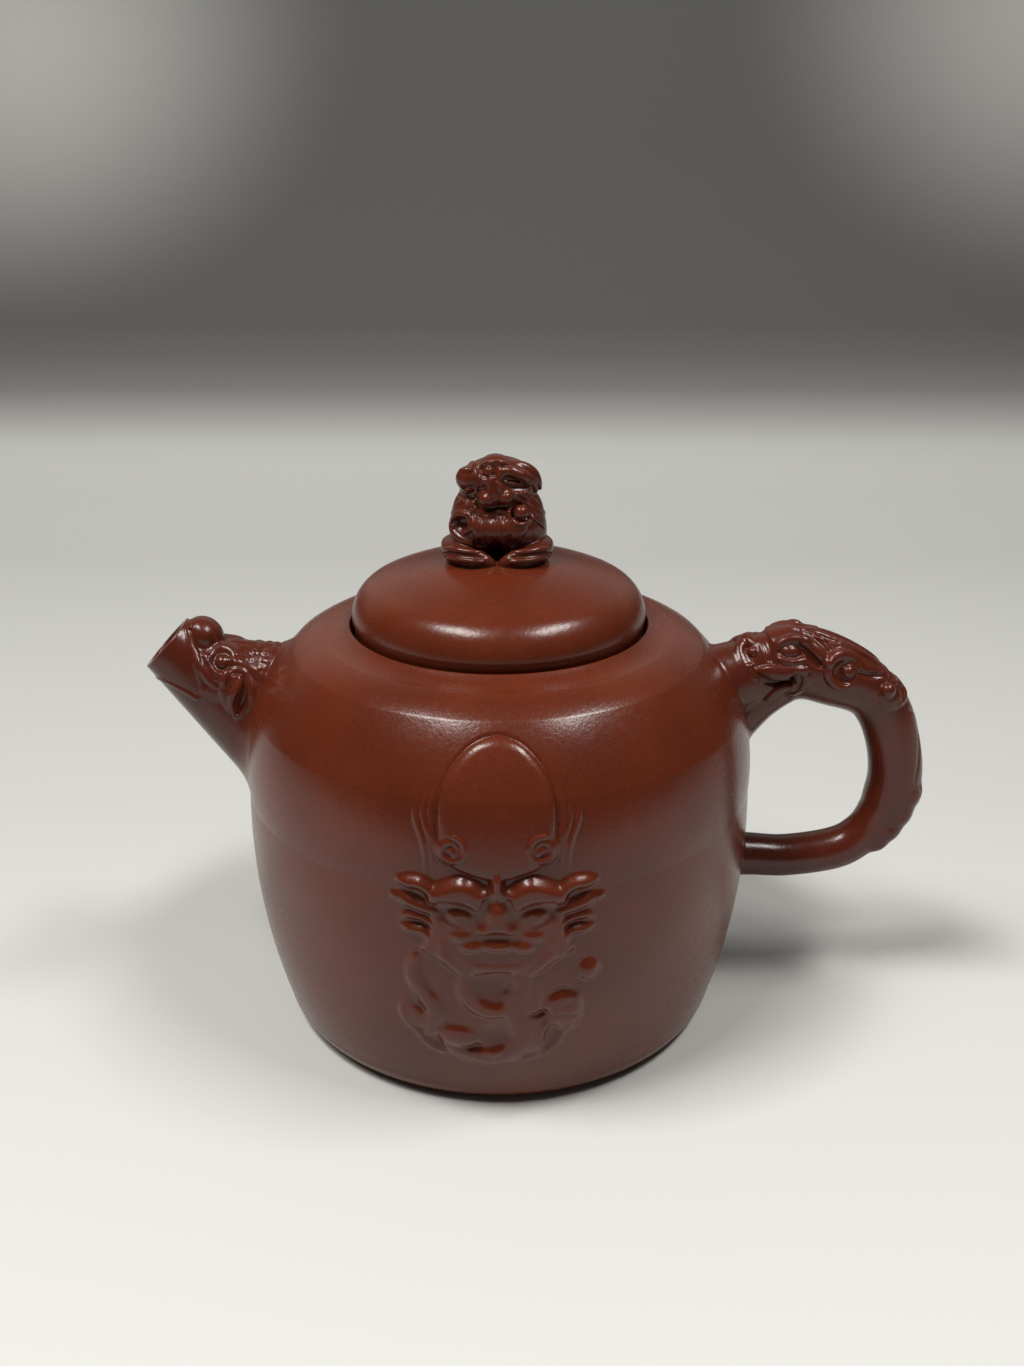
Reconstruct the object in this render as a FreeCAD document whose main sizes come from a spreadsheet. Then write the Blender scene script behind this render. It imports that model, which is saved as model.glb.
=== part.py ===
import FreeCAD, Part
import math
import operator
import os
import Sketcher
from types import SimpleNamespace

# Yixing teapot with a dragon spout, a dragon handle, a dragon relief and a crouching beast for a knob.
# Frame: origin at the centre of the foot on the table, +Z up, spout towards -X, handle towards +X,
# relief on the front at -Y. Millimetres.

SIZES = {
    # outside of the pot: the belly, and how far each place below and above it stands in from the belly
    "belly_radius": 50.0,
    "foot_inset": 9.6,
    "foot_edge_inset": 6.4,
    "heel_inset": 5.0,
    "flank_inset": 0.9,
    "breast_inset": 0.3,
    "turn_inset": 2.1,
    "shoulder_inset": 5.4,
    "seam_inset": 10.2,
    # heights from the table up, each above the place before it
    "foot_edge_rise": 1.9,
    "heel_rise": 3.0,
    "flank_rise": 19.4,
    "belly_rise": 24.3,
    "breast_rise": 9.4,
    "turn_rise": 7.4,
    "shoulder_rise": 5.8,
    "seam_rise": 5.7,
    # top of the pot: crown, collar and mouth, each in from and above the place before it
    "crown_inset": 2.8,
    "crown_rise": 1.6,
    "collar_foot_inset": 3.0,
    "collar_foot_rise": 1.1,
    "collar_inset": 4.2,
    "collar_rise": 1.6,
    "mouth_edge": 1.0,
    "seat_depth": 3.7,
    "seat_width": 4.3,
    # walls
    "wall": 3.0,
    "base_thickness": 3.4,
    "foot_ring_width": 4.4,
    "foot_recess": 0.6,
    "top_disc_thickness": 3.2,
    # lid, from the mouth inwards and from the seat up
    "lid_gap": 0.15,
    "lid_side_gap": 0.5,
    "lid_foot_inset": 1.4,
    "lid_rim_rise": 5.35,
    "lid_bulge_inset": 1.2,
    "lid_bulge_rise": 3.6,
    "lid_slope_inset": 4.4,
    "lid_slope_rise": 6.2,
    "lid_crown_inset": 9.9,
    "lid_crown_rise": 3.45,
    "lid_top_rise": 1.85,
    "lid_wall": 3.0,
    "flange_gap": 0.45,
    "flange_wall": 2.4,
    "flange_depth": 8.0,
    "vent_radius": 1.2,
    # spout
    "spout_stand_out": 15.05,
    "spout_drop": 0.7,
    "spout_lean_degrees": 45.0,
    "spout_tip_radius": 6.1,
    "spout_flare_share": 0.14,
    "spout_wall": 1.7,
    "outlet_radius": 6.4,
    # strainer behind the spout
    "strainer_radius": 10.0,
    "strainer_wall": 1.8,
    "strainer_hole_radius": 1.0,
    # handle
    "handle_stand_out": 35.4,
    "handle_top_rise": 3.1,
    "handle_foot_drop": 25.2,
    "handle_thickness": 10.5,
    "handle_width": 11.0,
    # relief on the front
    "relief_depth": 1.2,
    "relief_half_width": 18.5,
    "relief_foot_drop": 12.3,
    "relief_top_drop": 1.7,
    "pearl_radius": 2.0,
    # knob
    "knob_height": 19.8,
    "knob_half_width": 9.4,
    "knob_depth": 14.0,
}

DOC = FreeCAD.newDocument("Teapot")
SHEET = DOC.addObject("Spreadsheet::Sheet", "Sizes")
for row, (alias, number) in enumerate(SIZES.items(), start=1):
    SHEET.set("A%d" % row, alias)
    SHEET.set("B%d" % row, str(number))
    SHEET.setAlias("B%d" % row, alias)
DOC.recompute()


class Size:
    """A number together with the document expression that gives it."""

    def __init__(self, value, text):
        self.value = value
        self.text = text

    def __add__(self, other):
        return joined(self, "+", other)

    def __radd__(self, other):
        return joined(other, "+", self)

    def __sub__(self, other):
        return joined(self, "-", other)

    def __rsub__(self, other):
        return joined(other, "-", self)

    def __mul__(self, other):
        return joined(self, "*", other)

    def __rmul__(self, other):
        return joined(other, "*", self)

    def __truediv__(self, other):
        return joined(self, "/", other)

    def __neg__(self):
        return joined(-1, "*", self)


ARITHMETIC = {"+": operator.add, "-": operator.sub, "*": operator.mul, "/": operator.truediv}


def as_size(item):
    return item if isinstance(item, Size) else Size(item, repr(item))


def joined(left, sign, right):
    left, right = as_size(left), as_size(right)
    value = ARITHMETIC[sign](left.value, right.value)
    return Size(value, "(%s %s %s)" % (left.text, sign, right.text))


def cosine(angle):
    return Size(math.cos(math.radians(angle.value)), "cos(%s * 1 deg)" % angle.text)


def sine(angle):
    return Size(math.sin(math.radians(angle.value)), "sin(%s * 1 deg)" % angle.text)


def root(number):
    return Size(math.sqrt(number.value), "sqrt(%s)" % number.text)


size = SimpleNamespace(**{alias: Size(float(SHEET.get(alias)), "Sizes." + alias) for alias in SIZES})

# radii and heights of the places that the outline runs through

for place_name in ("foot", "foot_edge", "heel", "flank", "breast", "turn", "shoulder", "seam"):
    setattr(size, place_name + "_radius", size.belly_radius - getattr(size, place_name + "_inset"))
size.crown_radius = size.seam_radius - size.crown_inset
size.collar_foot_radius = size.crown_radius - size.collar_foot_inset
size.collar_top_radius = size.collar_foot_radius - size.collar_inset
size.mouth_radius = size.collar_top_radius - size.mouth_edge
size.throat_radius = size.mouth_radius - size.seat_width

reached = 0
for place_name in ("foot_edge", "heel", "flank", "belly", "breast", "turn", "shoulder", "seam", "crown", "collar_foot"):
    reached = reached + getattr(size, place_name + "_rise")
    setattr(size, place_name + "_height", reached)
size.collar_top_height = size.collar_foot_height + size.collar_rise
size.seat_height = size.collar_top_height - size.seat_depth

size.base_disc_radius = size.foot_radius - size.foot_ring_width
size.lid_foot_height = size.seat_height + size.lid_gap
size.lid_edge_radius = size.mouth_radius - size.lid_side_gap
size.lid_edge_height = size.lid_foot_height + size.lid_rim_rise
size.lid_foot_radius = size.lid_edge_radius - size.lid_foot_inset
size.lid_slope_radius = size.lid_edge_radius - size.lid_slope_inset
size.lid_slope_height = size.lid_edge_height + size.lid_slope_rise
size.lid_crown_radius = size.lid_slope_radius - size.lid_crown_inset
size.lid_crown_height = size.lid_slope_height + size.lid_crown_rise
size.lid_top_height = size.lid_crown_height + size.lid_top_rise

size.spout_reach = size.belly_radius + size.spout_stand_out
size.spout_height = size.seam_height - size.spout_drop
size.handle_reach = size.belly_radius + size.handle_stand_out
size.handle_top_height = size.seam_height + size.handle_top_rise
size.handle_foot_height = size.belly_height - size.handle_foot_drop
size.relief_foot_height = size.flank_height - size.relief_foot_drop
size.relief_top_height = size.seam_height - size.relief_top_drop


LENGTHWAYS = FreeCAD.Vector(1, 0, 0)
SIDEWAYS = FreeCAD.Vector(0, 1, 0)
UPRIGHT = FreeCAD.Vector(0, 0, 1)
QUARTER = Size(90, "90")


# sketches

def flat(step):
    return FreeCAD.Vector(as_size(step[0]).value, as_size(step[1]).value, 0)


def bind_place(sketch, geometry, position, across, up):
    """Tie a point of a sketch to its two coordinates."""
    for kind, axis, distance in (("DistanceX", -2, across), ("DistanceY", -1, up)):
        distance = as_size(distance)
        if distance.text == "0":
            sketch.addConstraint(Sketcher.Constraint("PointOnObject", geometry, position, axis))
            continue
        constraint = Sketcher.Constraint(kind, -1, 1, geometry, position, distance.value)
        index = sketch.addConstraint(constraint)
        sketch.setExpression("Constraints[%d]" % index, distance.text)


def draw_outline(sketch, steps):
    """Draw a closed outline: a step of two sizes is a line's end, one of four an arc's middle and end."""
    ends = [step[-2:] for step in steps]
    closed = flat(ends[-1]).distanceToPoint(flat(ends[0])) == 0
    first_joint = None
    previous_joint = None
    for number, step in enumerate(steps[1:] if closed else steps[1:] + [ends[0]]):
        start, finish = flat(ends[number]), flat(step[-2:])
        if len(step) == 2:
            geometry = sketch.addGeometry(Part.LineSegment(start, finish), False)
        else:
            geometry = sketch.addGeometry(Part.Arc(start, flat(step[:2]), finish), False)
        near, far = 1, 2
        if sketch.getPoint(geometry, 1).distanceToPoint(start) > sketch.getPoint(geometry, 2).distanceToPoint(start):
            near, far = 2, 1
        if previous_joint is None:
            first_joint = (geometry, near)
        else:
            sketch.addConstraint(Sketcher.Constraint("Coincident", *previous_joint, geometry, near))
        bind_place(sketch, geometry, near, *ends[number])
        if len(step) == 4:
            middle = sketch.addGeometry(Part.Point(flat(step[:2])), True)
            bind_place(sketch, middle, 1, *step[:2])
            sketch.addConstraint(Sketcher.Constraint("PointOnObject", middle, 1, geometry))
        previous_joint = (geometry, far)
    sketch.addConstraint(Sketcher.Constraint("Coincident", *previous_joint, *first_joint))


def body_with_sketch(name, steps):
    body = DOC.addObject("PartDesign::Body", name)
    sketch = body.newObject("Sketcher::SketchObject", name + "_outline")
    upright = [plane for plane in body.Origin.OriginFeatures if plane.Role == "XZ_Plane"][0]
    sketch.AttachmentSupport = [(upright, "")]
    sketch.MapMode = "FlatFace"
    draw_outline(sketch, steps)
    return body, sketch


def turned(name, steps, degrees=360):
    """A body of revolution about the pot's axis."""
    body, sketch = body_with_sketch(name, steps)
    feature = body.newObject("PartDesign::Revolution", name + "_turning")
    feature.Profile = sketch
    feature.ReferenceAxis = (sketch, ["V_Axis"])
    feature.Angle = degrees
    DOC.recompute()
    return body


def padded(name, steps, length):
    """A prism from the middle plane towards the front."""
    body, sketch = body_with_sketch(name, steps)
    feature = body.newObject("PartDesign::Pad", name + "_pad")
    feature.Profile = sketch
    feature.setExpression("Length", length.text)
    DOC.recompute()
    return body


def backwards(steps):
    """The same line run from its end to its start."""
    line = [steps[-1][-2:]]
    for number in range(len(steps) - 1, 0, -1):
        line.append(steps[number][:-2] + steps[number - 1][-2:])
    return line


def both_sides(steps):
    """Close an outline that runs down the right side with its mirror image on the left."""
    left = [tuple(-part if number % 2 == 0 else part for number, part in enumerate(step))
            for step in backwards(steps)]
    return steps + left[1:]


# solids and booleans

def place(item, across=0, depth=0, up=0, axis=None, angle=None):
    turn = FreeCAD.Rotation(axis, as_size(angle).value) if axis else FreeCAD.Rotation()
    spot = FreeCAD.Vector(as_size(across).value, as_size(depth).value, as_size(up).value)
    item.Placement = FreeCAD.Placement(spot, turn)
    for letter, offset in (("x", across), ("y", depth), ("z", up)):
        if isinstance(offset, Size):
            item.setExpression("Placement.Base." + letter, offset.text)
    if isinstance(angle, Size):
        item.setExpression("Placement.Rotation.Angle", angle.text)
    return item


def primitive(kind, name, **lengths):
    item = DOC.addObject(kind, name)
    for key, length in lengths.items():
        item.setExpression(key, length.text)
    return item


def ellipsoid(name, half_across, half_depth, half_up):
    return primitive("Part::Ellipsoid", name, Radius1=half_up, Radius2=half_across, Radius3=half_depth)


def boolean(kind, name, base, tool):
    item = DOC.addObject(kind, name)
    item.Base = base
    item.Tool = tool
    return item


def cut(name, base, *tools):
    """Take the tools from the base one after the other; the last result has the plain name."""
    for number, tool in enumerate(tools[:-1]):
        base = boolean("Part::Cut", "%s_less_%d" % (name, number), base, tool)
    return boolean("Part::Cut", name, base, tools[-1])


def fuse(name, *items):
    item = DOC.addObject("Part::MultiFuse", name)
    item.Shapes = list(items)
    return item


def group(name, *items):
    item = DOC.addObject("Part::Compound", name)
    item.Links = list(items)
    return item


def mirrored(name, item):
    """The same piece on the other side of the plane through spout and handle."""
    other = DOC.addObject("Part::Mirroring", name)
    other.Source = item
    other.Normal = FreeCAD.Vector(0, 1, 0)
    return other


PARTS = []


def sub_part(node, item):
    item.Label = node
    PARTS.append((node, item))
    return item


# outside of the pot as a whole solid, which the spout, the handle and the relief are cut to

def pot_outline(proud):
    """The outer line from foot to mouth, stood off sideways by proud."""
    return [
        (size.foot_radius + proud, 0),
        (size.foot_edge_radius + proud, size.foot_edge_height, size.heel_radius + proud, size.heel_height),
        (size.flank_radius + proud, size.flank_height, size.belly_radius + proud, size.belly_height),
        (size.breast_radius + proud, size.breast_height, size.turn_radius + proud, size.turn_height),
        (size.shoulder_radius + proud, size.shoulder_height, size.seam_radius + proud, size.seam_height),
    ]


none = 0 * size.wall
pot_form = turned("pot_form", [(0, 0)] + pot_outline(none) + [
    (size.crown_radius, size.crown_height, size.collar_foot_radius, size.collar_foot_height),
    (size.collar_top_radius, size.collar_top_height),
    (0, size.collar_top_height),
])

# wall, base, shoulder and mouth

disc_under = size.seat_height - size.top_disc_thickness
seam_inner_radius = size.seam_radius - 0.6 * size.wall
inner_line = [
    (size.base_disc_radius, size.base_thickness),
    (size.heel_radius - size.wall, size.heel_height + 0.6 * size.wall),
    (size.flank_radius - size.wall, size.flank_height, size.belly_radius - size.wall, size.belly_height),
    (size.breast_radius - size.wall, size.breast_height,
     size.turn_radius - 0.97 * size.wall, size.turn_height - 0.3 * size.wall),
    (size.shoulder_radius - 0.95 * size.wall, size.shoulder_height - 0.55 * size.wall,
     seam_inner_radius, disc_under),
]
pot_hollow = turned("pot_hollow", [(0, size.base_thickness)] + inner_line + [(0, disc_under)])
wall_inner = backwards(inner_line)[:-1]

outlet_radius_at_wall = size.belly_radius - size.wall
outlet_height = size.spout_height - (size.spout_reach - outlet_radius_at_wall) * sine(size.spout_lean_degrees) / cosine(
    size.spout_lean_degrees)
outlet = place(
    primitive("Part::Cylinder", "outlet", Radius=size.outlet_radius, Height=size.belly_radius),
    up=outlet_height, axis=SIDEWAYS, angle=-QUARTER,
)

# The wall is one slab of clay. Here its foot is a ring of its own, which rests on the table. Above the heel it
# is cut upright like a barrel, and beside the outlet across as well, because collision pieces of a whole ring
# would reach into the inside and the outlet.
heel_share = (size.heel_height - size.base_thickness) / (
    size.heel_height + 0.6 * size.wall - size.base_thickness)
heel_inner = (
    size.base_disc_radius + heel_share * (size.heel_radius - size.wall - size.base_disc_radius), size.heel_height)
foot_part = turned("foot_part", pot_outline(none)[:2] + [
    heel_inner,
    (size.base_disc_radius, size.base_thickness),
    (size.base_disc_radius, 0),
])
STAVES = 12
stave_degrees = 360 / STAVES
spout_side = (STAVES // 2 - 1, STAVES // 2)
reach = 2 * size.belly_radius
over_outlet, under_outlet = (
    place(primitive("Part::Box", name, Length=reach, Width=reach, Height=reach),
          across=-reach, depth=-0.5 * reach, up=foot)
    for name, foot in (("over_outlet", outlet_height), ("under_outlet", outlet_height - reach))
)
stave_outline = [(size.heel_radius, size.heel_height)] + pot_outline(none)[2:] + wall_inner + [heel_inner]
staves = [foot_part]
for number in range(STAVES):
    stave = place(turned("wall_stave_%d" % number, stave_outline, stave_degrees),
                  axis=UPRIGHT, angle=number * stave_degrees)
    if number in spout_side:
        staves.append(cut("upper_stave_%d" % number, stave, outlet, under_outlet))
        staves.append(cut("lower_stave_%d" % number, stave, outlet, over_outlet))
    else:
        staves.append(stave)
sub_part("body_wall", group("walled_body", *staves))

sub_part("base_disc", turned("base_slab", [
    (0, size.foot_recess),
    (size.base_disc_radius, size.foot_recess),
    (size.base_disc_radius, size.base_thickness),
    (0, size.base_thickness),
]))

sub_part("shoulder_disc", turned("top_disc", [
    (size.throat_radius, disc_under),
    (seam_inner_radius, disc_under),
    (size.seam_radius, size.seam_height),
    (size.crown_radius, size.crown_height, size.collar_foot_radius, size.collar_foot_height),
    (size.collar_foot_radius, size.seat_height),
    (size.throat_radius, size.seat_height),
]))

collar_hollow_share = 0.3
collar_edge = size.collar_top_radius - size.mouth_radius
sub_part("mouth_ring", turned("collar", [
    (size.mouth_radius, size.seat_height),
    (size.collar_foot_radius, size.seat_height),
    (size.collar_foot_radius, size.collar_foot_height),
    (size.collar_foot_radius * 0.5 + size.collar_top_radius * 0.5,
     size.collar_foot_height + collar_hollow_share * (size.collar_top_height - size.collar_foot_height),
     size.collar_top_radius, size.collar_top_height),
    (size.mouth_radius, size.collar_top_height - 0.5 * collar_edge),
]))

# lid with its flange and vent

lid_foot = size.lid_foot_height
flange_radius = size.throat_radius - size.flange_gap
hollow_radius = flange_radius - size.flange_wall
hollow_side_height = size.lid_edge_height - size.lid_wall
lid_outside = [
    (size.lid_crown_radius, size.lid_crown_height, size.lid_slope_radius, size.lid_slope_height),
    (size.lid_edge_radius - size.lid_bulge_inset, size.lid_edge_height + size.lid_bulge_rise,
     size.lid_edge_radius, size.lid_edge_height),
    (size.lid_foot_radius + 0.5 * (size.lid_edge_radius - size.lid_foot_radius),
     lid_foot + 0.4 * (size.lid_edge_height - lid_foot), size.lid_foot_radius, lid_foot),
]
lid_form = turned("lid_form", [(0, size.lid_top_height)] + lid_outside + [(0, lid_foot)])
lid_shell = turned("lid_shell", [(0, size.lid_top_height)] + lid_outside + [
    (hollow_radius, lid_foot),
    (hollow_radius, hollow_side_height),
    (size.lid_crown_radius, size.lid_crown_height - size.lid_wall, 0, size.lid_top_height - size.lid_wall),
])
vent_offset_share = 0.6
vent = place(
    primitive("Part::Cylinder", "vent", Radius=size.vent_radius, Height=size.lid_top_height),
    depth=vent_offset_share * hollow_radius,
)
sub_part("lid_dome", cut("vented_lid", lid_shell, vent))
sub_part("lid_flange", turned("lid_ring", [
    (hollow_radius, lid_foot - size.flange_depth),
    (flange_radius, lid_foot - size.flange_depth),
    (flange_radius, lid_foot),
    (hollow_radius, lid_foot),
]))

# spout: a hollow cone that leans out of the wall

spout_root_share = 0.75
spout_length = (size.spout_reach - spout_root_share * size.belly_radius) / cosine(size.spout_lean_degrees)
spout_root_radius = size.spout_tip_radius + size.spout_flare_share * spout_length


def along_spout(item):
    """Stand a piece on the spout's tip, pointing down the tube into the pot."""
    return place(
        item, across=-size.spout_reach, up=size.spout_height,
        axis=SIDEWAYS, angle=QUARTER + size.spout_lean_degrees)


spout_outside = along_spout(primitive(
    "Part::Cone", "spout_outside",
    Radius1=size.spout_tip_radius, Radius2=spout_root_radius, Height=spout_length))
spout_bore = along_spout(primitive(
    "Part::Cone", "spout_bore",
    Radius1=size.spout_tip_radius - size.spout_wall, Radius2=spout_root_radius - size.spout_wall,
    Height=spout_length))
sub_part("spout", cut("spout_tube", spout_outside, pot_form, spout_bore))

# strainer: half a hollow ball over the outlet, with a hole at its crown and two rings of holes

strainer_centre = -outlet_radius_at_wall
ball = place(
    primitive("Part::Sphere", "strainer_ball", Radius=size.strainer_radius),
    across=strainer_centre, up=outlet_height, axis=SIDEWAYS, angle=QUARTER)
ball_hollow = place(
    primitive("Part::Sphere", "strainer_hollow", Radius=size.strainer_radius - size.strainer_wall),
    across=strainer_centre, up=outlet_height, axis=SIDEWAYS, angle=QUARTER)
hole_start = size.strainer_radius - 1.5 * size.strainer_wall
holes = []
for tilt, count in ((0, 1), (30, 6), (58, 10)):
    for number in range(count):
        around = 360 * number / count
        forward = math.cos(math.radians(tilt))
        aside = math.sin(math.radians(tilt)) * math.sin(math.radians(around))
        upward = math.sin(math.radians(tilt)) * math.cos(math.radians(around))
        hole = place(
            primitive("Part::Cylinder", "strainer_hole_%d_%d" % (tilt, number),
                      Radius=size.strainer_hole_radius, Height=2 * size.strainer_wall),
            across=strainer_centre + forward * hole_start, depth=aside * hole_start,
            up=outlet_height + upward * hole_start)
        aim = FreeCAD.Rotation(UPRIGHT, FreeCAD.Vector(forward, aside, upward))
        hole.Placement = FreeCAD.Placement(hole.Placement.Base, aim)
        holes.append(hole)
strainer_shell = cut("strainer_shell", ball, ball_hollow, group("strainer_holes", *holes))
sub_part("strainer_dome", boolean("Part::Common", "strainer", strainer_shell, pot_hollow))

# dragon's head on the spout, in shares of the tip's radius from the tip's centre

head_lean_degrees = Size(22, "22")
spout_lump_shares = {
    "spout_skull": ((1.60, 1.55, 1.05), (2.35, 0, -0.40)),
    "spout_snout": ((0.75, 1.10, 0.65), (1.30, 0, 0.15)),
    "spout_crest": ((1.50, 0.80, 0.60), (3.20, 0, 0.10)),
}
spout_bead_shares = {
    "spout_nose_bead": (0.56, (1.22, 0, 0.40)),
    "spout_eye_front": (0.32, (2.00, -1.38, -0.10)),
    "spout_eye_back": (0.32, (2.00, 1.38, -0.10)),
}
ear_radius_share, ear_span_share, ear_spot_share = 0.62, 3.4, (2.40, 1.70, -1.35)


def at_spout(item, shares, axis=None, angle=None):
    """Put a piece beside the spout's tip, in shares of the tip's radius towards the pot, back and up."""
    inward, back, up = shares
    return place(
        item, across=inward * size.spout_tip_radius - size.spout_reach, depth=back * size.spout_tip_radius,
        up=size.spout_height + up * size.spout_tip_radius, axis=axis, angle=angle)


spout_lumps = [
    at_spout(
        ellipsoid(name, *[share * size.spout_tip_radius for share in half_shares]),
        spot_shares, axis=SIDEWAYS, angle=head_lean_degrees)
    for name, (half_shares, spot_shares) in spout_lump_shares.items()
]
ears = primitive(
    "Part::Cylinder", "spout_ears",
    Radius=ear_radius_share * size.spout_tip_radius, Height=ear_span_share * size.spout_tip_radius)
at_spout(ears, ear_spot_share, axis=LENGTHWAYS, angle=QUARTER)
spout_head = cut("spout_head", fuse("spout_head_mass", ears, *spout_lumps), spout_outside, pot_form)
sub_part("spout_dragon_head", spout_head)
beads = group("spout_beads_whole", *[
    at_spout(primitive("Part::Sphere", name, Radius=radius_share * size.spout_tip_radius), spot_shares)
    for name, (radius_share, spot_shares) in spout_bead_shares.items()
])
sub_part("spout_head_beads", cut("spout_beads", beads, spout_head, spout_outside, pot_form))

# handle: a round rod bent like an ear, lofted through ellipses square to its line

def handle_spot(reach_share, height_share):
    """A place beside the belly, in shares of the handle's reach and height."""
    reach = size.handle_reach.value - size.belly_radius.value
    height = size.handle_top_height.value - size.handle_foot_height.value
    return FreeCAD.Vector(
        size.belly_radius.value + reach_share * reach, 0, size.handle_foot_height.value + height_share * height)


def rod(name, station_shares):
    """A closed solid through stations of reach, height, thickness and width shares."""
    spots = [handle_spot(*station[:2]) for station in station_shares]
    wires = []
    for number, station in enumerate(station_shares):
        before, after = spots[max(number - 1, 0)], spots[min(number + 1, len(spots) - 1)]
        half_thickness = station[2] * size.handle_thickness.value / 2
        half_width = station[3] * size.handle_width.value / 2
        aim = after - before
        long_side, short_side = SIDEWAYS, aim.cross(SIDEWAYS).normalize()
        if half_thickness > half_width:
            long_side, short_side = short_side, long_side
        ellipse = Part.Ellipse(
            spots[number] + long_side * max(half_thickness, half_width),
            spots[number] + short_side * min(half_thickness, half_width), spots[number])
        wires.append(Part.Wire([ellipse.toShape()]))
    solid = DOC.addObject("Part::Feature", name)
    solid.Shape = Part.makeLoft(wires, True)
    return solid


handle_station_shares = [
    (-0.27, 0.75, 1.75, 1.25), (-0.05, 0.795, 1.40, 1.16), (0.12, 0.845, 1.12, 1.08), (0.37, 0.825, 1.05, 1.04),
    (0.635, 0.72, 1.02, 1.00), (0.805, 0.575, 1.0, 0.98), (0.85, 0.41, 1.0, 0.98), (0.75, 0.24, 0.99, 0.98),
    (0.54, 0.13, 0.99, 0.98), (0.27, 0.092, 1.01, 0.98), (0.0, 0.10, 1.07, 1.00), (-0.23, 0.113, 1.10, 1.04),
]
handle_rod = rod("handle_rod", handle_station_shares)
handle = sub_part("handle", boolean("Part::Cut", "handle_cut", handle_rod, pot_form))

# dragon's head that holds the top of the handle, with its mane and tail fin

handle_head_station_shares = [
    (-0.075, 0.885, 1.0, 1.28), (0.075, 0.887, 1.22, 1.42), (0.24, 0.873, 1.41, 1.5), (0.45, 0.828, 1.40, 1.42),
    (0.665, 0.75, 1.26, 1.28), (0.815, 0.645, 1.12, 1.14), (0.87, 0.52, 1.04, 1.04),
]
handle_head = cut("handle_head", rod("handle_head_rod", handle_head_station_shares), handle_rod, pot_form)
sub_part("handle_dragon_head", handle_head)


def at_handle(item, reach_share, height_share, width_share=0.0):
    """Put a piece beside the handle, its width share of half the handle's width towards the front."""
    reach = size.handle_reach - size.belly_radius
    height = size.handle_top_height - size.handle_foot_height
    return place(
        item, across=size.belly_radius + reach_share * reach, depth=-width_share * 0.5 * size.handle_width,
        up=size.handle_foot_height + height_share * height)


handle_bead_shares = {
    "handle_eye": (0.17, 0.94, 1.30, 0.17),
    "handle_nostril": (-0.02, 0.935, 0.95, 0.20),
    "handle_cheek_scroll": (0.48, 0.868, 1.30, 0.30),
    "handle_mane_scroll": (0.725, 0.795, 1.05, 0.25),
}
handle_beads = []
for name, (reach_share, height_share, width_share, radius_share) in handle_bead_shares.items():
    bead = primitive("Part::Sphere", name, Radius=radius_share * size.handle_width)
    handle_beads.append(at_handle(bead, reach_share, height_share, width_share))
    handle_beads.append(mirrored(name + "_back", bead))
beads = group("handle_beads_whole", *handle_beads)
sub_part("handle_head_beads", cut("handle_beads", beads, handle_head, handle_rod, pot_form))

fin_half_shares, fin_spot_shares, fin_lean_degrees = (0.26, 0.34, 0.95), (0.93, 0.30), 22
fin = ellipsoid("handle_fin_whole", *[share * size.handle_thickness for share in fin_half_shares])
at_handle(fin, *fin_spot_shares)
fin.Placement = FreeCAD.Placement(fin.Placement.Base, FreeCAD.Rotation(SIDEWAYS, fin_lean_degrees))
sub_part("handle_tail_fin", cut("handle_fin", fin, handle_rod, handle_head))

# knob: a crouching beast with its head over two paws

knob_lump_shares = {
    "knob_chest": ((0.97, 0.47, 0.40), (0, 0.05, 0.33)),
    "knob_face": ((0.86, 0.47, 0.35), (0, -0.02, 0.65)),
    "knob_paw_left": ((0.50, 0.27, 0.12), (-0.57, -0.33, 0.06)),
    "knob_paw_right": ((0.50, 0.27, 0.12), (0.57, -0.33, 0.06)),
    "knob_left_ear": ((0.33, 0.22, 0.155), (-0.66, -0.14, 0.74)),
    "knob_right_ear": ((0.33, 0.22, 0.155), (0.66, 0.02, 0.73)),
    "knob_brow": ((0.45, 0.20, 0.10), (0, -0.28, 0.91)),
    "knob_left_curl": ((0.25, 0.17, 0.12), (-0.62, -0.36, 0.39)),
    "knob_right_curl": ((0.21, 0.14, 0.10), (0.42, -0.42, 0.45)),
    "knob_left_nostril": ((0.18, 0.12, 0.085), (-0.20, -0.44, 0.52)),
    "knob_right_nostril": ((0.18, 0.12, 0.085), (0.16, -0.44, 0.52)),
}
knob_foot = size.lid_top_height
lumps = {}
for name, (half_shares, (across_share, depth_share, height_share)) in knob_lump_shares.items():
    half_across, half_depth, half_up = half_shares
    lump = ellipsoid(name, half_across * size.knob_half_width, half_depth * size.knob_depth,
                     half_up * size.knob_height)
    lumps[name] = place(
        lump, across=across_share * size.knob_half_width, depth=depth_share * size.knob_depth,
        up=knob_foot + height_share * size.knob_height)
chest, face = lumps.pop("knob_chest"), lumps.pop("knob_face")
paws = group("knob_paws_whole", lumps.pop("knob_paw_left"), lumps.pop("knob_paw_right"))
beast_body = sub_part("knob_beast_body", cut("beast_body", chest, lid_form))
beast_head = sub_part("knob_beast_head", cut("beast_head", face, chest))
beast_paws = sub_part("knob_paws", cut("beast_paws", paws, chest, lid_form))
curls = fuse("knob_curls_whole", *lumps.values())
sub_part("knob_curls", cut("beast_curls", curls, beast_head, beast_body, beast_paws))

# relief on the front: flat plates of clay that follow the wall

relief_form = turned("relief_form", [(0, 0)] + pot_outline(size.relief_depth) + [(0, size.seam_height)])
panel_form = turned("panel_form", [(0, 0)] + pot_outline(0.4 * size.relief_depth) + [(0, size.seam_height)])
relief_height = size.relief_top_height - size.relief_foot_height


def spot(across_share, height_share):
    """A place on the front in shares of the relief's half width and height."""
    return across_share * size.relief_half_width, size.relief_foot_height + height_share * relief_height


def through(middle, end):
    return middle + end


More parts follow.
